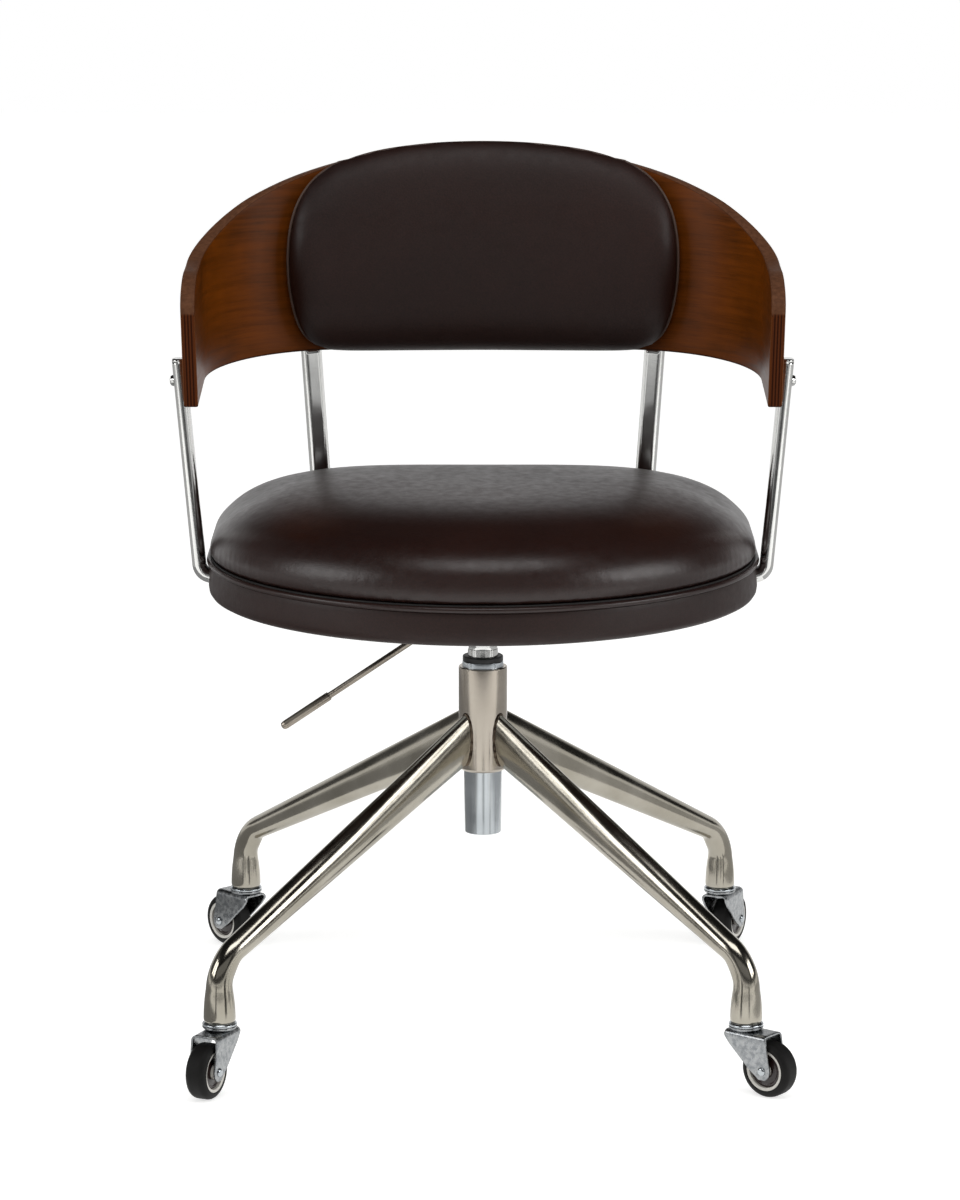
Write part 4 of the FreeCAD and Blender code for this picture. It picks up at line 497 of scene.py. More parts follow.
for name, (measures, heading, origin, roll) in POSTS.items():
    for piece, section, node in (("chrome_", post_points, name), ("cap_", cap_points, "post_caps")):
        points, faces = skin(section(*measures))
        points = against_shell(turn(rolled(points, roll, measures[3]), heading, origin))
        finish(outwards(make(piece + name, points, faces)), "seat", CHROME, "chrome_tube", node)

# Back shell: nine-ply bent plywood that wraps round as the arms, sanded round at its edges. Its faces
# carry a walnut-stained veneer with the grain running round; its cut edges are stained darker. UPPER_EDGE
# runs from the middle of the back to an arm's end, as distance round the sheet and height. ARM_END says how
# far the section shrinks at the last two stations of an arm.
REAR_RUN, CORNER_RUN, ARM_RUN = 128.7, 214, 105
EDGE_EASE = 1.6
FACE_STEPS, EASE_STEPS, FLAT_SHARES = 34, 5, (0.3, 0.5, 0.7)
ARM_END = {0.9967: 0.35, 1.0: 1.2}
PLIES, EDGE_DEPTH = 9, 6
UPPER_EDGE = np.array([
    (0, 789.5), (25.7, 789.4), (48.9, 788.9), (72.1, 787.8), (95.2, 785.6), (118.4, 782.2), (137.9, 777.4),
    (161.2, 770.5), (184.6, 762.5), (203.6, 755.2), (226.3, 746), (246.2, 736.7), (266.3, 727.3),
    (287.1, 718.2), (310.4, 709.6), (334.1, 703.2), (355.3, 700.8), (374.2, 699.7), (393.1, 698.9),
    (412, 695.7), (425.6, 691.1), (435.1, 686.6), (441.4, 681.5), (445.6, 675.4), (447.7, 668)])


def upper_edge(run):
    """Height of the shell's upper edge, a smooth curve through its stations."""
    runs, heights = UPPER_EDGE.T
    slopes = np.gradient(heights, runs)
    i = min(max(np.searchsorted(runs, run) - 1, 0), len(runs) - 2)
    step = runs[i + 1] - runs[i]
    t = (run - runs[i]) / step
    start = (1 + 2 * t) * (1 - t) ** 2 * heights[i] + t * (1 - t) ** 2 * step * slopes[i]
    return start + t * t * (3 - 2 * t) * heights[i + 1] + t * t * (t - 1) * step * slopes[i + 1]


def shell_columns():
    """Stations round the shell: stretch, share of it, side, run from the middle, rounding at an end."""
    arm = [*np.linspace(0, 0.86, 36)[1:], *np.linspace(0.87, 0.9886, 16), *ARM_END]
    right = [("rear", f, 1, f * REAR_RUN, 0) for f in np.linspace(0, 1, 27)]
    right += [("corner", f, 1, REAR_RUN + f * CORNER_RUN, 0) for f in np.linspace(0, 1, 49)[1:]]
    right += [("arm", f, 1, REAR_RUN + CORNER_RUN + f * ARM_RUN, ARM_END.get(f, 0)) for f in arm]
    left = [(stretch, f, -1, -run, shrink) for stretch, f, side, run, shrink in right[1:]]
    return left[::-1] + right


def shell_point(column, t, z):
    """Point a depth t outwards from the shell's inner face."""
    stretch, f, side = column[:3]
    cx, cy = CORNER_X + FLARE * (z - SHELL_Z), CORNER_Y + LEAN * (z - SHELL_Z)
    radius = INNER_RADIUS + t
    if stretch == "rear":
        return side * f * cx, cy + radius, z
    if stretch == "corner":
        a = f * math.pi / 2
        return side * (cx + radius * math.sin(a)), cy + radius * math.cos(a), z
    return side * (cx + radius), cy - f * (cy + ARM_FRONT), z


def shell_ring(column):
    """Section of the shell at a station: its points and, for each, the depth share and the rim share."""
    shrink = column[4]
    near, far = shrink, THICK - shrink
    low = shell_edge(shell_point(column, EDGE_DEPTH, SHELL_Z)[1]) + shrink
    high = upper_edge(abs(column[3])) - shrink
    quarter = np.linspace(0.25, 1, EASE_STEPS) * math.pi / 2
    bend = [(EDGE_EASE * (1 - math.cos(a)), EDGE_EASE * (1 - math.sin(a))) for a in quarter]
    faces_z = np.linspace(low + EDGE_EASE, high - EDGE_EASE, FACE_STEPS)
    spots = [(near, z, 0) for z in faces_z]
    spots += [(near + t, high - z, 1) for t, z in bend]
    spots += [(near + EDGE_EASE + (far - near - 2 * EDGE_EASE) * share, high, 1) for share in FLAT_SHARES]
    spots += [(far - t, high - z, 1) for t, z in bend[::-1]]
    spots += [(far, z, 0) for z in faces_z[::-1]]
    spots += [(far - t, low + z, 0.4) for t, z in bend]
    spots += [(near + t, low + z, 0.4) for t, z in bend[::-1]]
    return [shell_point(column, t, z) for t, z, _ in spots], [(t / THICK, rim) for t, _, rim in spots]


def multiplied(material, tone, share):
    """Colour multiplied by a value."""
    return add(material, "Mix", {6: tone, 7: share, 0: 1.0}, data_type="RGBA",
               blend_type="MULTIPLY").outputs[2]


def veneer(name, light, dark, along="UV"):
    """Stained wood under a satin lacquer, its grain along the piece's U direction."""
    material, shader = new_material(name)
    place = add(material, "TexCoord").outputs[along]
    sway = add(material, "TexNoise", {"Vector": place, "Scale": 5, "Detail": 3}).outputs["Color"]
    bent = add(material, "VectorMath", {0: sway, 1: (0.03, 0.010, 0.03), 2: place}, operation="MULTIPLY_ADD")
    long_grain = add(material, "Mapping", {"Vector": bent.outputs[0], "Scale": (4.0, 110, 110)}).outputs[0]
    bands = mottle(material, long_grain, 1.7, 9, 0.66)
    pore_map = add(material, "Mapping", {"Vector": place, "Scale": (26, 1100, 1100)}).outputs[0]
    pores, clouds = mottle(material, pore_map, 1.4, 3), mottle(material, place, 11, 3)
    figure = add(material, "Math", {0: bands, 1: 0.6}, operation="MULTIPLY").outputs[0]
    total = add(material, "Math", {0: clouds, 1: 0.4, 2: figure}, operation="MULTIPLY_ADD").outputs[0]
    tone = ramp(material, total, [(0.36, dark), (0.62, light)])
    mask = spread_range(material, pores, 0.74, 1.0, 0.32, 0.46)
    bumps = add(material, "Bump", {"Height": pores, "Strength": 0.10, "Distance": 0.0003})
    feed(material, shader, {
        "Base Color": multiplied(material, tone, mask), "Specular IOR Level": 0.1,
        "Roughness": spread_range(material, bands, 0.32, 0.42), "Normal": bumps.outputs[0]})
    return material


def ply_edge(name):
    """Cut edge of stained plywood: ply lines on the arms' ends, sanded and sealed smooth on the rim."""
    material, shader = new_material(name)
    layer = add(material, "Attribute", attribute_name="layer").outputs["Fac"]
    rim = add(material, "Attribute", attribute_name="rim").outputs["Fac"]
    place = add(material, "TexCoord").outputs["Object"]
    uneven, fibres = mottle(material, place, 240, 4), mottle(material, place, 900, 4)
    wavy = add(material, "Math", {0: uneven, 1: 0.025, 2: layer}, operation="MULTIPLY_ADD").outputs[0]
    count = add(material, "Math", {0: wavy, 1: PLIES / 2}, operation="MULTIPLY").outputs[0]
    saw = add(material, "Math", {0: count}, operation="FRACT").outputs[0]
    step = spread_range(material, saw, 0.0, 1.0, 0.44, 0.56)
    total = add(material, "Math", {0: fibres, 1: 0.35, 2: step}, operation="MULTIPLY_ADD").outputs[0]
    cut = ramp(material, total, [(0.1, "#270f06"), (0.35, "#331608"), (1.1, "#4f2712")])
    sealed = ramp(material, uneven, [(0.35, "#4f3222"), (0.65, "#5f3e2b")])
    shaded = add(material, "Mix", {0: rim, 6: cut, 7: sealed}, data_type="RGBA").outputs[2]
    bumps = add(material, "Bump", {"Height": total, "Strength": 0.12, "Distance": 0.0003})
    feed(material, shader, {
        "Base Color": shaded, "Roughness": spread_range(material, fibres, 0.38, 0.54),
        "Specular IOR Level": 0.04, "Normal": bumps.outputs[0]})
    return material


columns = shell_columns()
rings, marks = zip(*(shell_ring(column) for column in columns))
points, faces = skin(rings)
shell = make("back_shell_veneer", points, faces)
shell.data.materials.append(veneer("walnut veneer", "#683203", "#462102"))
shell.data.materials.append(ply_edge("stained ply edge"))
size = len(rings[0])
outer_face = FACE_STEPS + 2 * EASE_STEPS + len(FLAT_SHARES)
veneered = {*range(FACE_STEPS - 1), *range(outer_face, outer_face + FACE_STEPS - 1)}
is_cut = [len(face) > 4 or face[0] % size not in veneered for face in faces]
shell.data.polygons.foreach_set("material_index", [int(cut) for cut in is_cut])
marks = np.array(marks, np.float32).reshape(-1, 2)
marks[:size, 1] = marks[-size:, 1] = 0
for index, name in enumerate(("layer", "rim")):
    attribute = shell.data.attributes.new(name, "FLOAT", "POINT")
    attribute.data.foreach_set("value", np.ascontiguousarray(marks[:, index]))
around = np.repeat([column[3] / 1000 for column in columns], size)
heights = np.array(rings).reshape(-1, 3)[:, 2] / 1000
loops = np.zeros(len(shell.data.loops), np.int32)
shell.data.loops.foreach_get("vertex_index", loops)
uv = shell.data.uv_layers.new(name="plan")
plan = np.stack([around[loops], heights[loops] + marks[loops, 0] * 0.4], 1)
uv.data.foreach_set("uv", plan.astype(np.float32).ravel())
finish(outwards(shell), "seat", None, "walnut_ply", "back_shell")

# Seat cushion: foam under oxblood leather, with a half-round front and wide rear corners. Its edge rolls
# full and the sitting area is gently domed. Both crowns give inset and height, at the sides and in front.
SEAT_HALF, SEAT_REAR, SEAT_CORNER, SEAT_FRONT_CENTRE = 252, 198, 110, 10.0
SEAT_CROWN = [(3.2, 440.2), (1.0, 442.4), (-0.2, 446), (0.6, 451), (3, 457), (7, 463.5), (12, 469),
              (20, 477), (30, 484.5), (42, 491), (55, 496), (70, 499.8), (88, 502.5), (108, 504.2),
              (130, 505.3), (155, 505.8), (180, 506)]
FRONT_CROWN = [(3.2, 440.2), (1.0, 442.4), (-0.4, 446), (-0.8, 452), (-0.2, 459), (1.8, 466), (5.5, 473.5),
               (11, 480.5), (18.5, 486.7), (28, 491.3), (40, 495), (55, 498.2), (72, 500.8), (92, 503),
               (115, 504.7), (145, 505.8), (180, 506)]
SEAT_FALL, FALL_START, FALL_RUN, CROWN_HEIGHT = 3.0, 20, 150, 60
REAR_STEEP, REAR_SHARE = 14, 0.55


def eased(stations, steps=4):
    """Smooth curve through stations, with a number of steps between each two."""
    stations = np.array(stations, float)
    slopes = np.gradient(stations, axis=0)
    made = [stations[:1]]
    for i in range(len(stations) - 1):
        t = np.linspace(0, 1, steps + 1)[1:, None]
        made.append((1 + 2 * t) * (1 - t) ** 2 * stations[i] + t * (1 - t) ** 2 * slopes[i]
                    + t * t * (3 - 2 * t) * stations[i + 1] + t * t * (t - 1) * slopes[i + 1])
    return np.vstack(made)


def seat_outline(side, rear, z):
    """Points of the seat's outline drawn in by side and rear, always in the same order."""
    half, rear_y = SEAT_HALF - side, SEAT_REAR - rear
    corner, centre_y = SEAT_CORNER - (side + rear) / 4, SEAT_FRONT_CENTRE
    made = [(half * math.cos(a), centre_y + half * math.sin(a))
            for a in np.linspace(math.pi, math.tau, 97)[:-1]]
    made += [(half, y) for y in np.linspace(centre_y, rear_y - corner, 9)[:-1]]
    made += [(half - corner + corner * math.cos(a), rear_y - corner + corner * math.sin(a))
             for a in np.linspace(0, math.pi / 2, 25)[:-1]]
    made += [(x, rear_y) for x in np.linspace(half - corner, corner - half, 25)[:-1]]
    made += [(corner - half + corner * math.cos(a), rear_y - corner + corner * math.sin(a))
             for a in np.linspace(math.pi / 2, math.pi, 25)[:-1]]
    made += [(-half, y) for y in np.linspace(rear_y - corner, centre_y, 9)[:-1]]
    return np.array([(x, y, z) for x, y in made])


def leather(name, rough, shine):
    """Dark oxblood leather: fine pebbled grain, slow unevenness and a worn-in sheen."""
    material, shader = new_material(name)
    place = add(material, "TexCoord").outputs["Object"]
    wobble = add(material, "TexNoise", {"Vector": place, "Scale": 260, "Detail": 2}).outputs["Color"]
    bent = add(material, "VectorMath", {0: wobble, 1: (0.0012,) * 3, 2: place}, operation="MULTIPLY_ADD")
    grain = add(material, "TexVoronoi", {"Vector": bent.outputs[0], "Scale": 430}, feature="SMOOTH_F1")
    pores, waves = mottle(material, place, 700, 4), mottle(material, place, 110, 5, 0.6)
    tone = ramp(material, mottle(material, place, 9, 4), [(0.3, "#1f0e0a"), (0.7, "#26120d")])
    speckle = spread_range(material, pores, 0.72, 1.3)
    deep = add(material, "Bump", {"Height": waves, "Strength": 0.05, "Distance": 0.001})
    middle = add(material, "Bump", {"Height": grain.outputs["Distance"], "Strength": 0.22,
                                    "Distance": 0.0003, "Normal": deep.outputs[0]}, invert=True)
    small = add(material, "Bump", {"Height": pores, "Strength": 0.12, "Distance": 0.0002,
                                   "Normal": middle.outputs[0]})
    feed(material, shader, {
        "Base Color": multiplied(material, tone, speckle), "Specular IOR Level": shine,
        "Roughness": spread_range(material, waves, rough - 0.05, rough + 0.05), "Normal": small.outputs[0]})
    return material


def evened(values, start, end, steps, forth, back):
    """Even out values over a mesh by drawing each point towards its neighbours, back and forth."""
    count = len(values)
    degree = np.bincount(np.concatenate([start, end]), minlength=count)[:, None]
    for step in range(steps):
        total = np.stack([np.bincount(start, column[end], count) + np.bincount(end, column[start], count)
                          for column in values.T], 1)
        values = values + (back if step % 2 else forth) * (total / degree - values)
    return values


def settle(obj, cap, held_below, pressure, voxel):
    """Let a closed cushion swell against its cover, no point moving further than cap metres."""
    mesh = obj.data
    mesh.remesh_voxel_size = voxel
    bpy.context.view_layer.objects.active = obj
    bpy.ops.object.voxel_remesh()
    rest = np.zeros(len(mesh.vertices) * 3, np.float32)
    mesh.vertices.foreach_get("co", rest)
    rest = rest.reshape(-1, 3).astype(float)
    edges = np.zeros(len(mesh.edges) * 2, np.int32)
    mesh.edges.foreach_get("vertices", edges)
    start, end = edges.reshape(-1, 2).T
    group = obj.vertex_groups.new(name="held")
    group.add([int(i) for i in np.nonzero(rest[:, 2] < held_below)[0]], 1.0, "REPLACE")
    cloth = obj.modifiers.new("Cloth", "CLOTH")
    cover = cloth.settings
    cover.quality, cover.mass = 6, 0.4
    cover.tension_stiffness = cover.compression_stiffness = 20
    cover.bending_stiffness = 2
    cover.use_pressure, cover.uniform_pressure_force = True, pressure
    cover.vertex_group_mass = "held"
    cover.effector_weights.gravity = 0
    cloth.point_cache.frame_start, cloth.point_cache.frame_end = 1, 20
    for step in range(1, 21):
        bpy.context.scene.frame_set(step)
    solved = np.zeros(len(rest) * 3, np.float32)
    obj.evaluated_get(bpy.context.evaluated_depsgraph_get()).data.vertices.foreach_get("co", solved)
    moved = solved.reshape(-1, 3) - rest
    length = np.linalg.norm(moved, axis=1)[:, None]
    moved *= np.minimum(1, cap / np.maximum(length, 1e-9))
    moved = evened(moved, start, end, steps=60, forth=0.5, back=0.5)
    shape = evened(rest + moved, start, end, steps=40, forth=0.5, back=-0.52)
    obj.modifiers.remove(cloth)
    mesh.vertices.foreach_set("co", shape.astype(np.float32).ravel())
    mesh.update()
    bpy.context.scene.frame_set(1)


def upholster(obj, **cloth):
    """Settle a cushion, even out its surface and give it one level of subdivision."""
    settle(obj, **cloth)
    relax = obj.modifiers.new("relax", "SMOOTH")
    relax.factor, relax.iterations = 0.5, 8
    fine = obj.modifiers.new("fine", "SUBSURF")
    fine.levels = fine.render_levels = 1
    obj.data.polygons.foreach_set("use_smooth", [True] * len(obj.data.polygons))


LEATHER = leather("oxblood leather", 0.35, 0.5)
rings = []
for (inset, z), (front_inset, front_z) in zip(eased(SEAT_CROWN), eased(FRONT_CROWN)):
    ring = seat_outline(inset, min(inset, REAR_STEEP) + max(0, inset - REAR_STEEP) * REAR_SHARE, z)
    fall = SEAT_FALL * np.clip((ring[:, 1] - FALL_START) / FALL_RUN, 0, 1)
    ring[:, 2] -= fall * (z - SEAT_CROWN[0][1]) / CROWN_HEIGHT
    full = seat_outline(front_inset, front_inset, front_z)
    share = np.clip((SEAT_FRONT_CENTRE - ring[:, 1:2]) / (SEAT_HALF - inset), 0, 1)
    rings.append(ring + (full - ring) * share)
points, faces = skin(rings)
cushion = outwards(make("leather_seat", points, faces))
upholster(cushion, cap=0.002, held_below=0.4408, pressure=1.5, voxel=0.005)
finish(cushion, "seat", LEATHER, "leather", "seat_cushion")


# Piping: a round cord covered in the seat's leather and sewn in between the cushion and the band. Above it a
# thin near-black cord paints the shadow in the seam.
def outline_tube(name, inset, z, radius, sides=14):
    """Round cord along the seat's outline."""
    path = seat_outline(inset, inset, z)
    up = np.broadcast_to((0, 0, 1.0), path.shape)
    return outwards(make(name, *cord(path, np.cross(directions(path), up), up, radius, sides)))


# A near-black cord along the seam above the piping paints its shadow.
SEAM_SHADOW = moulded("seam shadow", "#0d0908", 0.7)
finish(outline_tube("leather_piping", 0.3, 436.75, 2.75), "seat", LEATHER, "leather", "seat_piping")
finish(outline_tube("seat_seam_shadow", 2.6, 439.6, 1.3, 8), "seat", SEAM_SHADOW, "leather")

# Band: leather of a duller finish, stretched over the seat board's apron, rolled under at its lower edge
# and tacked inside. BAND gives inset and height round its section.
BAND = [(0.9, 434.0), (0.5, 433.2), (0.1, 429), (-0.3, 424), (-0.7, 418), (-0.8, 413), (-0.2, 409),
        (1.8, 406), (5.2, 404.2), (9, 403.3), (12, 403), (15.6, 403.4), (17, 405), (17, 427.9), (3.2, 427.9),
        (3.2, 434.0)]
rings = np.array([seat_outline(inset, inset, z) for inset, z in BAND])
points, faces = skin(np.swapaxes(rings, 0, 1), closed=True)
band = outwards(make("leather_band", points, faces))
MATT_LEATHER = leather("oxblood leather, matt", 0.5, 0.34)
finish(band, "seat", MATT_LEATHER, "leather", "seat_band")

# Back pad: foam on its own board under the band's leather, screwed on through the shell. It follows the
# shell's inner face, is fullest in its lower third, and is edged with a thin piping coloured as a painted
# highlight.
PAD_LOW, PAD_HEIGHT, PAD_HALF, PAD_SWELL, PAD_BACK = 605, 194, 187, 3.0, 5
PAD_MIDDLE, PAD_TUCK = 705, 1.25
PAD_PIPING, PAD_PIPING_DEPTH, PAD_PIPING_SPREAD = 1.6, 7, (1.008, 1)
# Half of the outline: share of the half width, then the lower and the upper edge as shares of the height.
PAD_OUTLINE = np.array([
    (0.0, 0, 1), (0.25, 0, 0.992), (0.5, 0, 0.962), (0.64, 0, 0.928), (0.76, 0, 0.88), (0.86, 0.01, 0.81),
    (0.92, 0.055, 0.735), (0.96, 0.13, 0.66), (0.985, 0.24, 0.57), (1.0, 0.34, 0.46)])
# Sections from the shell outwards, as inset and depth, and how full they are at each height.
PAD_LAYERS = [(3, 5.0), (0.6, 7.5), (0, 10), (0.6, 13), (2.2, 17), (5, 21), (9, 24.5), (14, 27.3), (21, 29.6),
              (30, 31.2), (42, 32.3), (56, 32.9), (70, 33)]
PAD_FULLNESS = ([605, 628, 645, 665, 700, 740, 770, 800], [0.93, 1.03, 1.07, 1.03, 0.99, 0.92, 0.80, 0.64])


def pad_point(x, z, depth):
    """Point a depth in front of the shell's inner face; x is counted along that face."""
    turned = max(0.0, abs(x) - CORNER_X) / INNER_RADIUS
    radius = INNER_RADIUS - depth
    along = min(abs(x), CORNER_X) + (FLARE * (z - SHELL_Z) if turned else 0)
    side = math.copysign(1, x)
    return (side * (along + radius * math.sin(turned)),
            CORNER_Y + LEAN * (z - SHELL_Z) + radius * math.cos(turned), z)


def pad_edge(count=160):
    """Outline of the pad as (x, z) points."""
    xs = PAD_OUTLINE[:, 0] * PAD_HALF
    lows, highs = PAD_LOW + PAD_HEIGHT * PAD_OUTLINE[:, 1], PAD_LOW + PAD_HEIGHT * PAD_OUTLINE[:, 2]
    right = list(zip(xs, highs)) + list(zip(xs, lows))[::-1]
    loop = right[:-1] + [(-x, z) for x, z in right[:0:-1]]
    outline = soften(loop, 14, 3)
    closed = np.vstack([outline, outline[:1]])
    lengths = np.r_[0, np.cumsum(np.linalg.norm(np.diff(closed, axis=0), axis=1))]
    at = np.linspace(0, lengths[-1], count, endpoint=False)
    even = np.stack([np.interp(at, lengths, closed[:, 0]), np.interp(at, lengths, closed[:, 1])], 1)
    for _ in range(10):
        even = (np.roll(even, 1, 0) + 2 * even + np.roll(even, -1, 0)) / 4
    return even


rings = []
edge = pad_edge()
for inset, depth in PAD_LAYERS:
    tuck = np.where(edge[:, 1] < PAD_MIDDLE, PAD_TUCK, 1)
    inset -= PAD_SWELL
    xs = edge[:, 0] * (1 - inset / PAD_HALF)
    zs = PAD_MIDDLE + (edge[:, 1] - PAD_MIDDLE) * (1 - inset * tuck / (PAD_HEIGHT / 2))
    rings.append([pad_point(x, z, PAD_BACK + (depth - PAD_BACK) * np.interp(z, *PAD_FULLNESS))
                  for x, z in zip(xs, zs)])
points, faces = skin(rings)
pad = outwards(make("leather_back_pad", points, faces))
upholster(pad, cap=0.0018, held_below=0, pressure=1.5, voxel=0.0045)
finish(pad, "seat", MATT_LEATHER, "leather", "back_pad")
loop = pad_edge(200) * PAD_PIPING_SPREAD
path, over = (np.array([pad_point(x, z, PAD_PIPING_DEPTH + step) for x, z in loop]) for step in (0, 1))
outward = over - path
points, faces = cord(path, np.cross(directions(path), outward), outward, PAD_PIPING, 10)
# The piping's light brown is a painted highlight along the pad's edge.
PIPING_HIGHLIGHT = moulded("pad piping, painted highlight", "#4a362c", 0.5, 0.3)
finish(outwards(make("pad_piping", points, faces)), "seat", PIPING_HIGHLIGHT, "leather")

# Height lever: worn plated steel rod with a slightly thicker tube pushed over its end. It is pivoted under
# the seat and slopes down to the left.
LEVER_DOWN, LEVER_X, LEVER_Z = math.radians(34), -30, 383
ROD = [(0, 0), (3, 0), (3, 135.5), (0, 135.5)]
GRIP = [(0, 134.5), (3.2, 134.5), (3.2, 135.5), (4.1, 135.7), (4.1, 184.5), (3.5, 187.4), (2, 188.4),
        (0, 188.5)]


def on_lever(points):
    """Points of a turned piece laid along the lever."""
    c, s = math.cos(LEVER_DOWN), math.sin(LEVER_DOWN)
    x, y, z = points[:, 0], points[:, 1], points[:, 2]
    return np.stack([LEVER_X - z * c + x * s, y, LEVER_Z - z * s - x * c], 1)


LEVER_METAL = metal("worn plate", "#a39b90", "#8b8379", (0.2, 0.34), 600, 0.05)
finish(lathe("lever_bar", ROD, 0.4, 40, on_lever), "lever", LEVER_METAL, "nickel_steel", "lever_rod")
finish(lathe("lever_sleeve", GRIP, 0.5, 48, on_lever), "lever", LEVER_METAL, "nickel_steel", "lever_grip")

# Hard pieces under the seat and behind the back, shown as they are in the CAD model: the seat's and the
# pad's boards are stained dark, the hardware is plated with zinc or chrome, the inserts are brass.
RUBBER = moulded("black rubber", "#191918", 0.62, 0.2)
SHOWN = [
    (ZINC, ["taper_socket", "seat_bracket", "mounting_plate", "pivot_pin", "plate_bolts", "tee_nuts",
            "lever_tongue", "post_seat_screws", "pad_screws", "rod_clip"]),
    (CHROME, ["piston_rod", "thrust_bearing", "release_pin", "back_screws"]),
    (metal("brass", "#c8a45a", "#b08c45", (0.2, 0.32)), ["back_inserts"]),
    (RUBBER, ["rubber_buffer"]),
    (BLACK_PLASTIC, ["caster_sockets"]),
    (veneer("dark stained board", "#2b1a12", "#1c100b", "Object"), ["seat_board", "back_pad_board"]),
]
for material, names in SHOWN:
    for name in names:
        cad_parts[name].data.materials.clear()
        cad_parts[name].data.materials.append(material)

# Studio: a pale floor in a white surround, lit by two large soft lights at the sides and one above. Cards
# that show only in reflections stand for the room: bright low behind, dark above and in front, with a grey
# floor. The thin strips stand near the feet and draw the dark lines on their bells.
SURROUND_LIGHT, SURROUND_SEEN, FLOOR_GLOW = 0.5, 1.0, 0.62
FLOOR_HALF = 9000
scene = bpy.context.scene
world = bpy.data.worlds.new("studio")
scene.world = world
world.use_nodes = True


def background_ray(owner):
    """1 for rays that show the background: from the camera, off metal and through glass."""
    path = add(owner, "LightPath").outputs
    seen = add(owner, "Math", {0: path["Is Camera Ray"], 1: path["Is Glossy Ray"]}, operation="MAXIMUM")
    return add(owner, "Math", {0: seen.outputs[0], 1: path["Is Transmission Ray"]},
               operation="MAXIMUM").outputs[0]


strength = add(world, "MapRange", {0: background_ray(world), 3: SURROUND_LIGHT, 4: SURROUND_SEEN})
feed(world, world.node_tree.nodes["Background"], {0: colour("#ffffff"), 1: strength.outputs[0]})


def light(name, place, target, size, power):
    """Soft rectangular light that faces its target."""
    data = bpy.data.lights.new(name, "AREA")
    data.shape = "RECTANGLE"
    data.size, data.size_y = size
    data.energy = power
    lamp = bpy.data.objects.new(name, data)
    lamp.location = place
    lamp.rotation_euler = (Vector(target) - Vector(place)).to_track_quat("-Z", "Y").to_euler()
    scene.collection.objects.link(lamp)


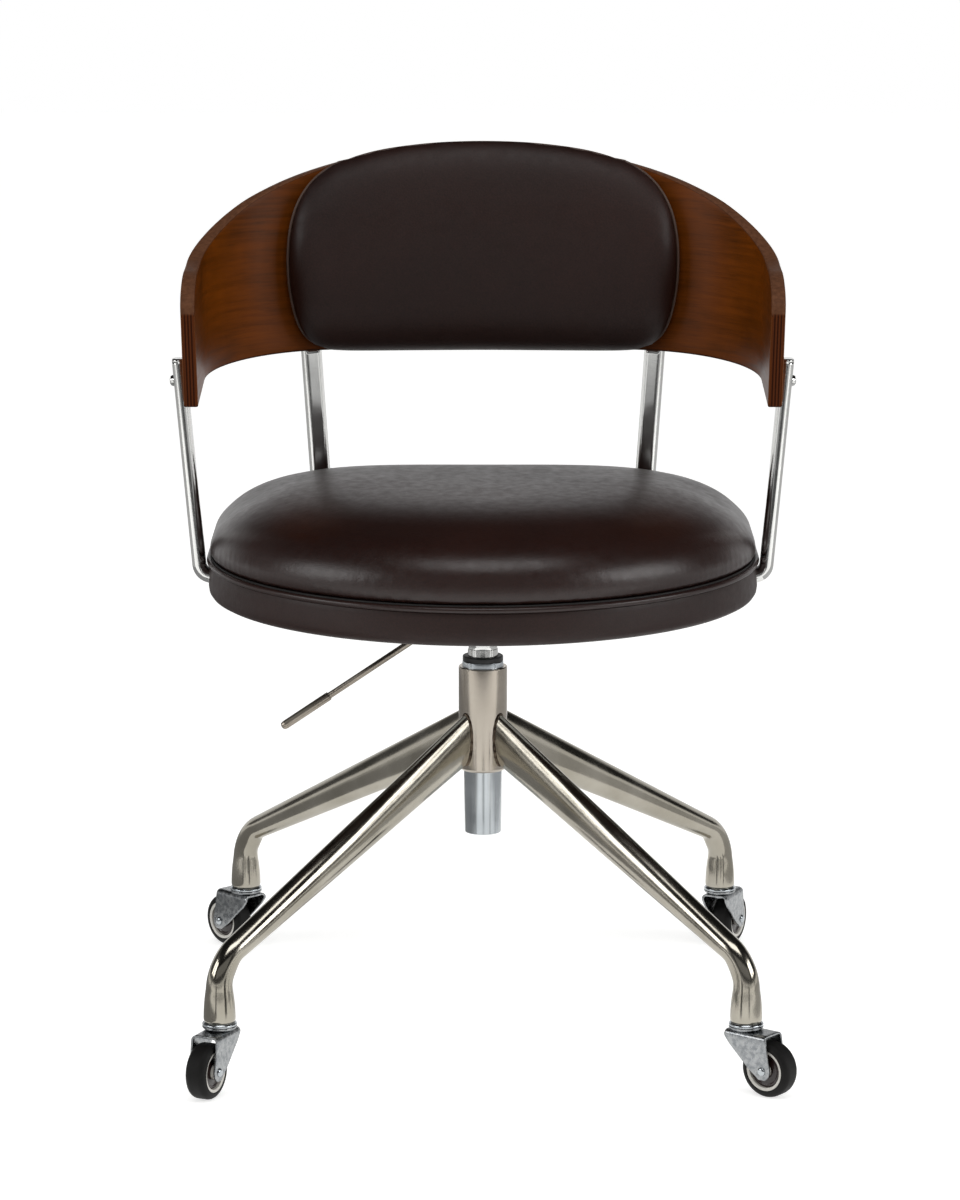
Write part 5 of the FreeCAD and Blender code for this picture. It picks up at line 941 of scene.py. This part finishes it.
light("key", (2.9, -1.1, 1.5), (0, 0, 0.5), (1.8, 1.3), 40)
light("fill", (-2.9, -1.1, 1.5), (0, 0, 0.5), (1.8, 1.3), 32)
light("overhead", (0.1, -1.4, 3.0), (0, -0.2, 0.4), (2.2, 1.2), 25)
floor = make("floor", [(x * FLOOR_HALF, y * FLOOR_HALF, 0) for x, y in ((-1, -1), (1, -1), (1, 1), (-1, 1))],
             [(0, 1, 2, 3)])
paper, shader = new_material("white paper")
glow = add(paper, "Math", {0: background_ray(paper), 1: FLOOR_GLOW}, operation="MULTIPLY")
feed(paper, shader, {"Base Color": colour("#d8d8d6"), "Roughness": 0.9,
                     "Emission Color": colour("#ffffff"), "Emission Strength": glow.outputs[0]})
floor.data.materials.append(paper)
floor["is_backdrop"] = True
# For each card: two opposite corners in metres and how bright it is.
CARDS = {
    "rear_low_card": ((-4.2, 3.2, 0.02), (4.2, 3.2, 1.3), 0.92),
    "rear_middle_card": ((-4.2, 3.2, 1.3), (4.2, 3.2, 1.52), 0.45),
    "rear_high_card": ((-4.2, 3.2, 1.52), (4.2, 3.2, 1.78), 0.2),
    "rear_top_card": ((-4.2, 3.2, 1.78), (4.2, 3.2, 3.6), 0.02),
    "ceiling_card": ((-4.2, -5.2, 3.6), (4.2, 3.2, 3.6), 0.015),
    "front_card": ((-4.2, -5.2, 0.4), (4.2, -5.2, 1.3), 0.08),
    "front_top_card": ((-4.2, -5.2, 1.3), (4.2, -5.2, 3.6), 0.3),
    "left_card": ((-4.2, -5.2, 0.5), (-4.2, 0.3, 1.3), 0.08),
    "left_top_card": ((-4.2, -5.2, 1.3), (-4.2, 0.3, 3.6), 0.05),
    "left_rear_card": ((-4.2, 0.3, 0.5), (-4.2, 3.2, 3.6), 0.1),
    "right_card": ((4.2, -5.2, 0.5), (4.2, 0.3, 1.3), 0.06),
    "right_top_card": ((4.2, -5.2, 1.3), (4.2, 0.3, 3.6), 0.04),
    "right_rear_card": ((4.2, 0.3, 0.5), (4.2, 3.2, 3.6), 0.03),
    "floor_card": ((-1.2, -5.2, 0.004), (1.2, -2.2, 0.004), 0.09),
    "left_front_floor_card": ((-4.2, -5.2, 0.004), (-1.2, -2.2, 0.004), 0.35),
    "right_front_floor_card": ((1.2, -5.2, 0.004), (4.2, -2.2, 0.004), 0.45),
    "left_floor_card": ((-4.2, -0.6, 0.004), (-1.5, 3.2, 0.004), 0.5),
    "left_near_card": ((-1.5, -0.6, 0.004), (-0.33, 3.2, 0.004), 0.3),
    "right_floor_card": ((0.5, -0.6, 0.004), (4.2, 3.2, 0.004), 0.58),
    "left_flag": ((-2.45, -1.0, 0.0), (-2.2, -0.7, 2.4), 0.02),
    "right_flag": ((2.45, -1.0, 0.0), (2.2, -0.7, 2.4), 0.02),
    "strip_1": ((-0.392, -0.547, 0), (-0.349, -0.565, 0.1), 0.04),
    "strip_2": ((0.009, -0.489, 0), (0.060, -0.428, 0.1), 0.05),
    "strip_3": ((0.319, -0.574, 0), (0.364, -0.559, 0.1), 0.04),
    "strip_4": ((-0.022, -0.476, 0), (0.039, -0.527, 0.1), 0.05),
    "strip_5": ((-0.352, -0.0425, 0), (-0.320, -0.0545, 0.1), 0.03),
    "strip_6": ((-0.104, -0.0385, 0), (-0.063, -0.0145, 0.1), 0.03),
    "strip_7": ((0.345, -0.0455, 0), (0.376, -0.0313, 0.1), 0.03),
    "strip_8": ((0.0724, -0.0206, 0), (0.1132, -0.0422, 0.1), 0.03),
}
for name, (low, high, strength) in CARDS.items():
    (x0, y0, z0), (x1, y1, z1) = np.array(low) * 1000, np.array(high) * 1000
    flat = z0 == z1
    corners = [(x0, y0, z0), (x1, y0 if flat else y1, z0), (x1, y1, z1), (x0, y1 if flat else y0, z1)]
    card = make(name, corners, [(0, 1, 2, 3)])
    material, shader = new_material(name)
    feed(material, shader, {"Base Color": colour("#000000"), "Specular IOR Level": 0,
                            "Emission Color": colour("#ffffff"), "Emission Strength": strength})
    card.data.materials.append(material)
    card.visible_camera = card.visible_diffuse = card.visible_shadow = card.visible_transmission = False
    card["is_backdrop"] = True

# Camera: 4.2 m in front of the chair and a little above its back, looking down by 11.4 degrees through a
# long lens.
camera = bpy.data.objects.new("camera", bpy.data.cameras.new("camera"))
camera.location = (0, -4.195, 1.242)
camera.rotation_euler = (math.radians(78.62), 0, math.radians(0.037))
camera.data.lens = 139.2
camera.data.sensor_width = 36
scene.collection.objects.link(camera)
scene.camera = camera
scene.render.resolution_x, scene.render.resolution_y = 960, 1200
scene.view_settings.view_transform = "Standard"

low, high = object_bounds()
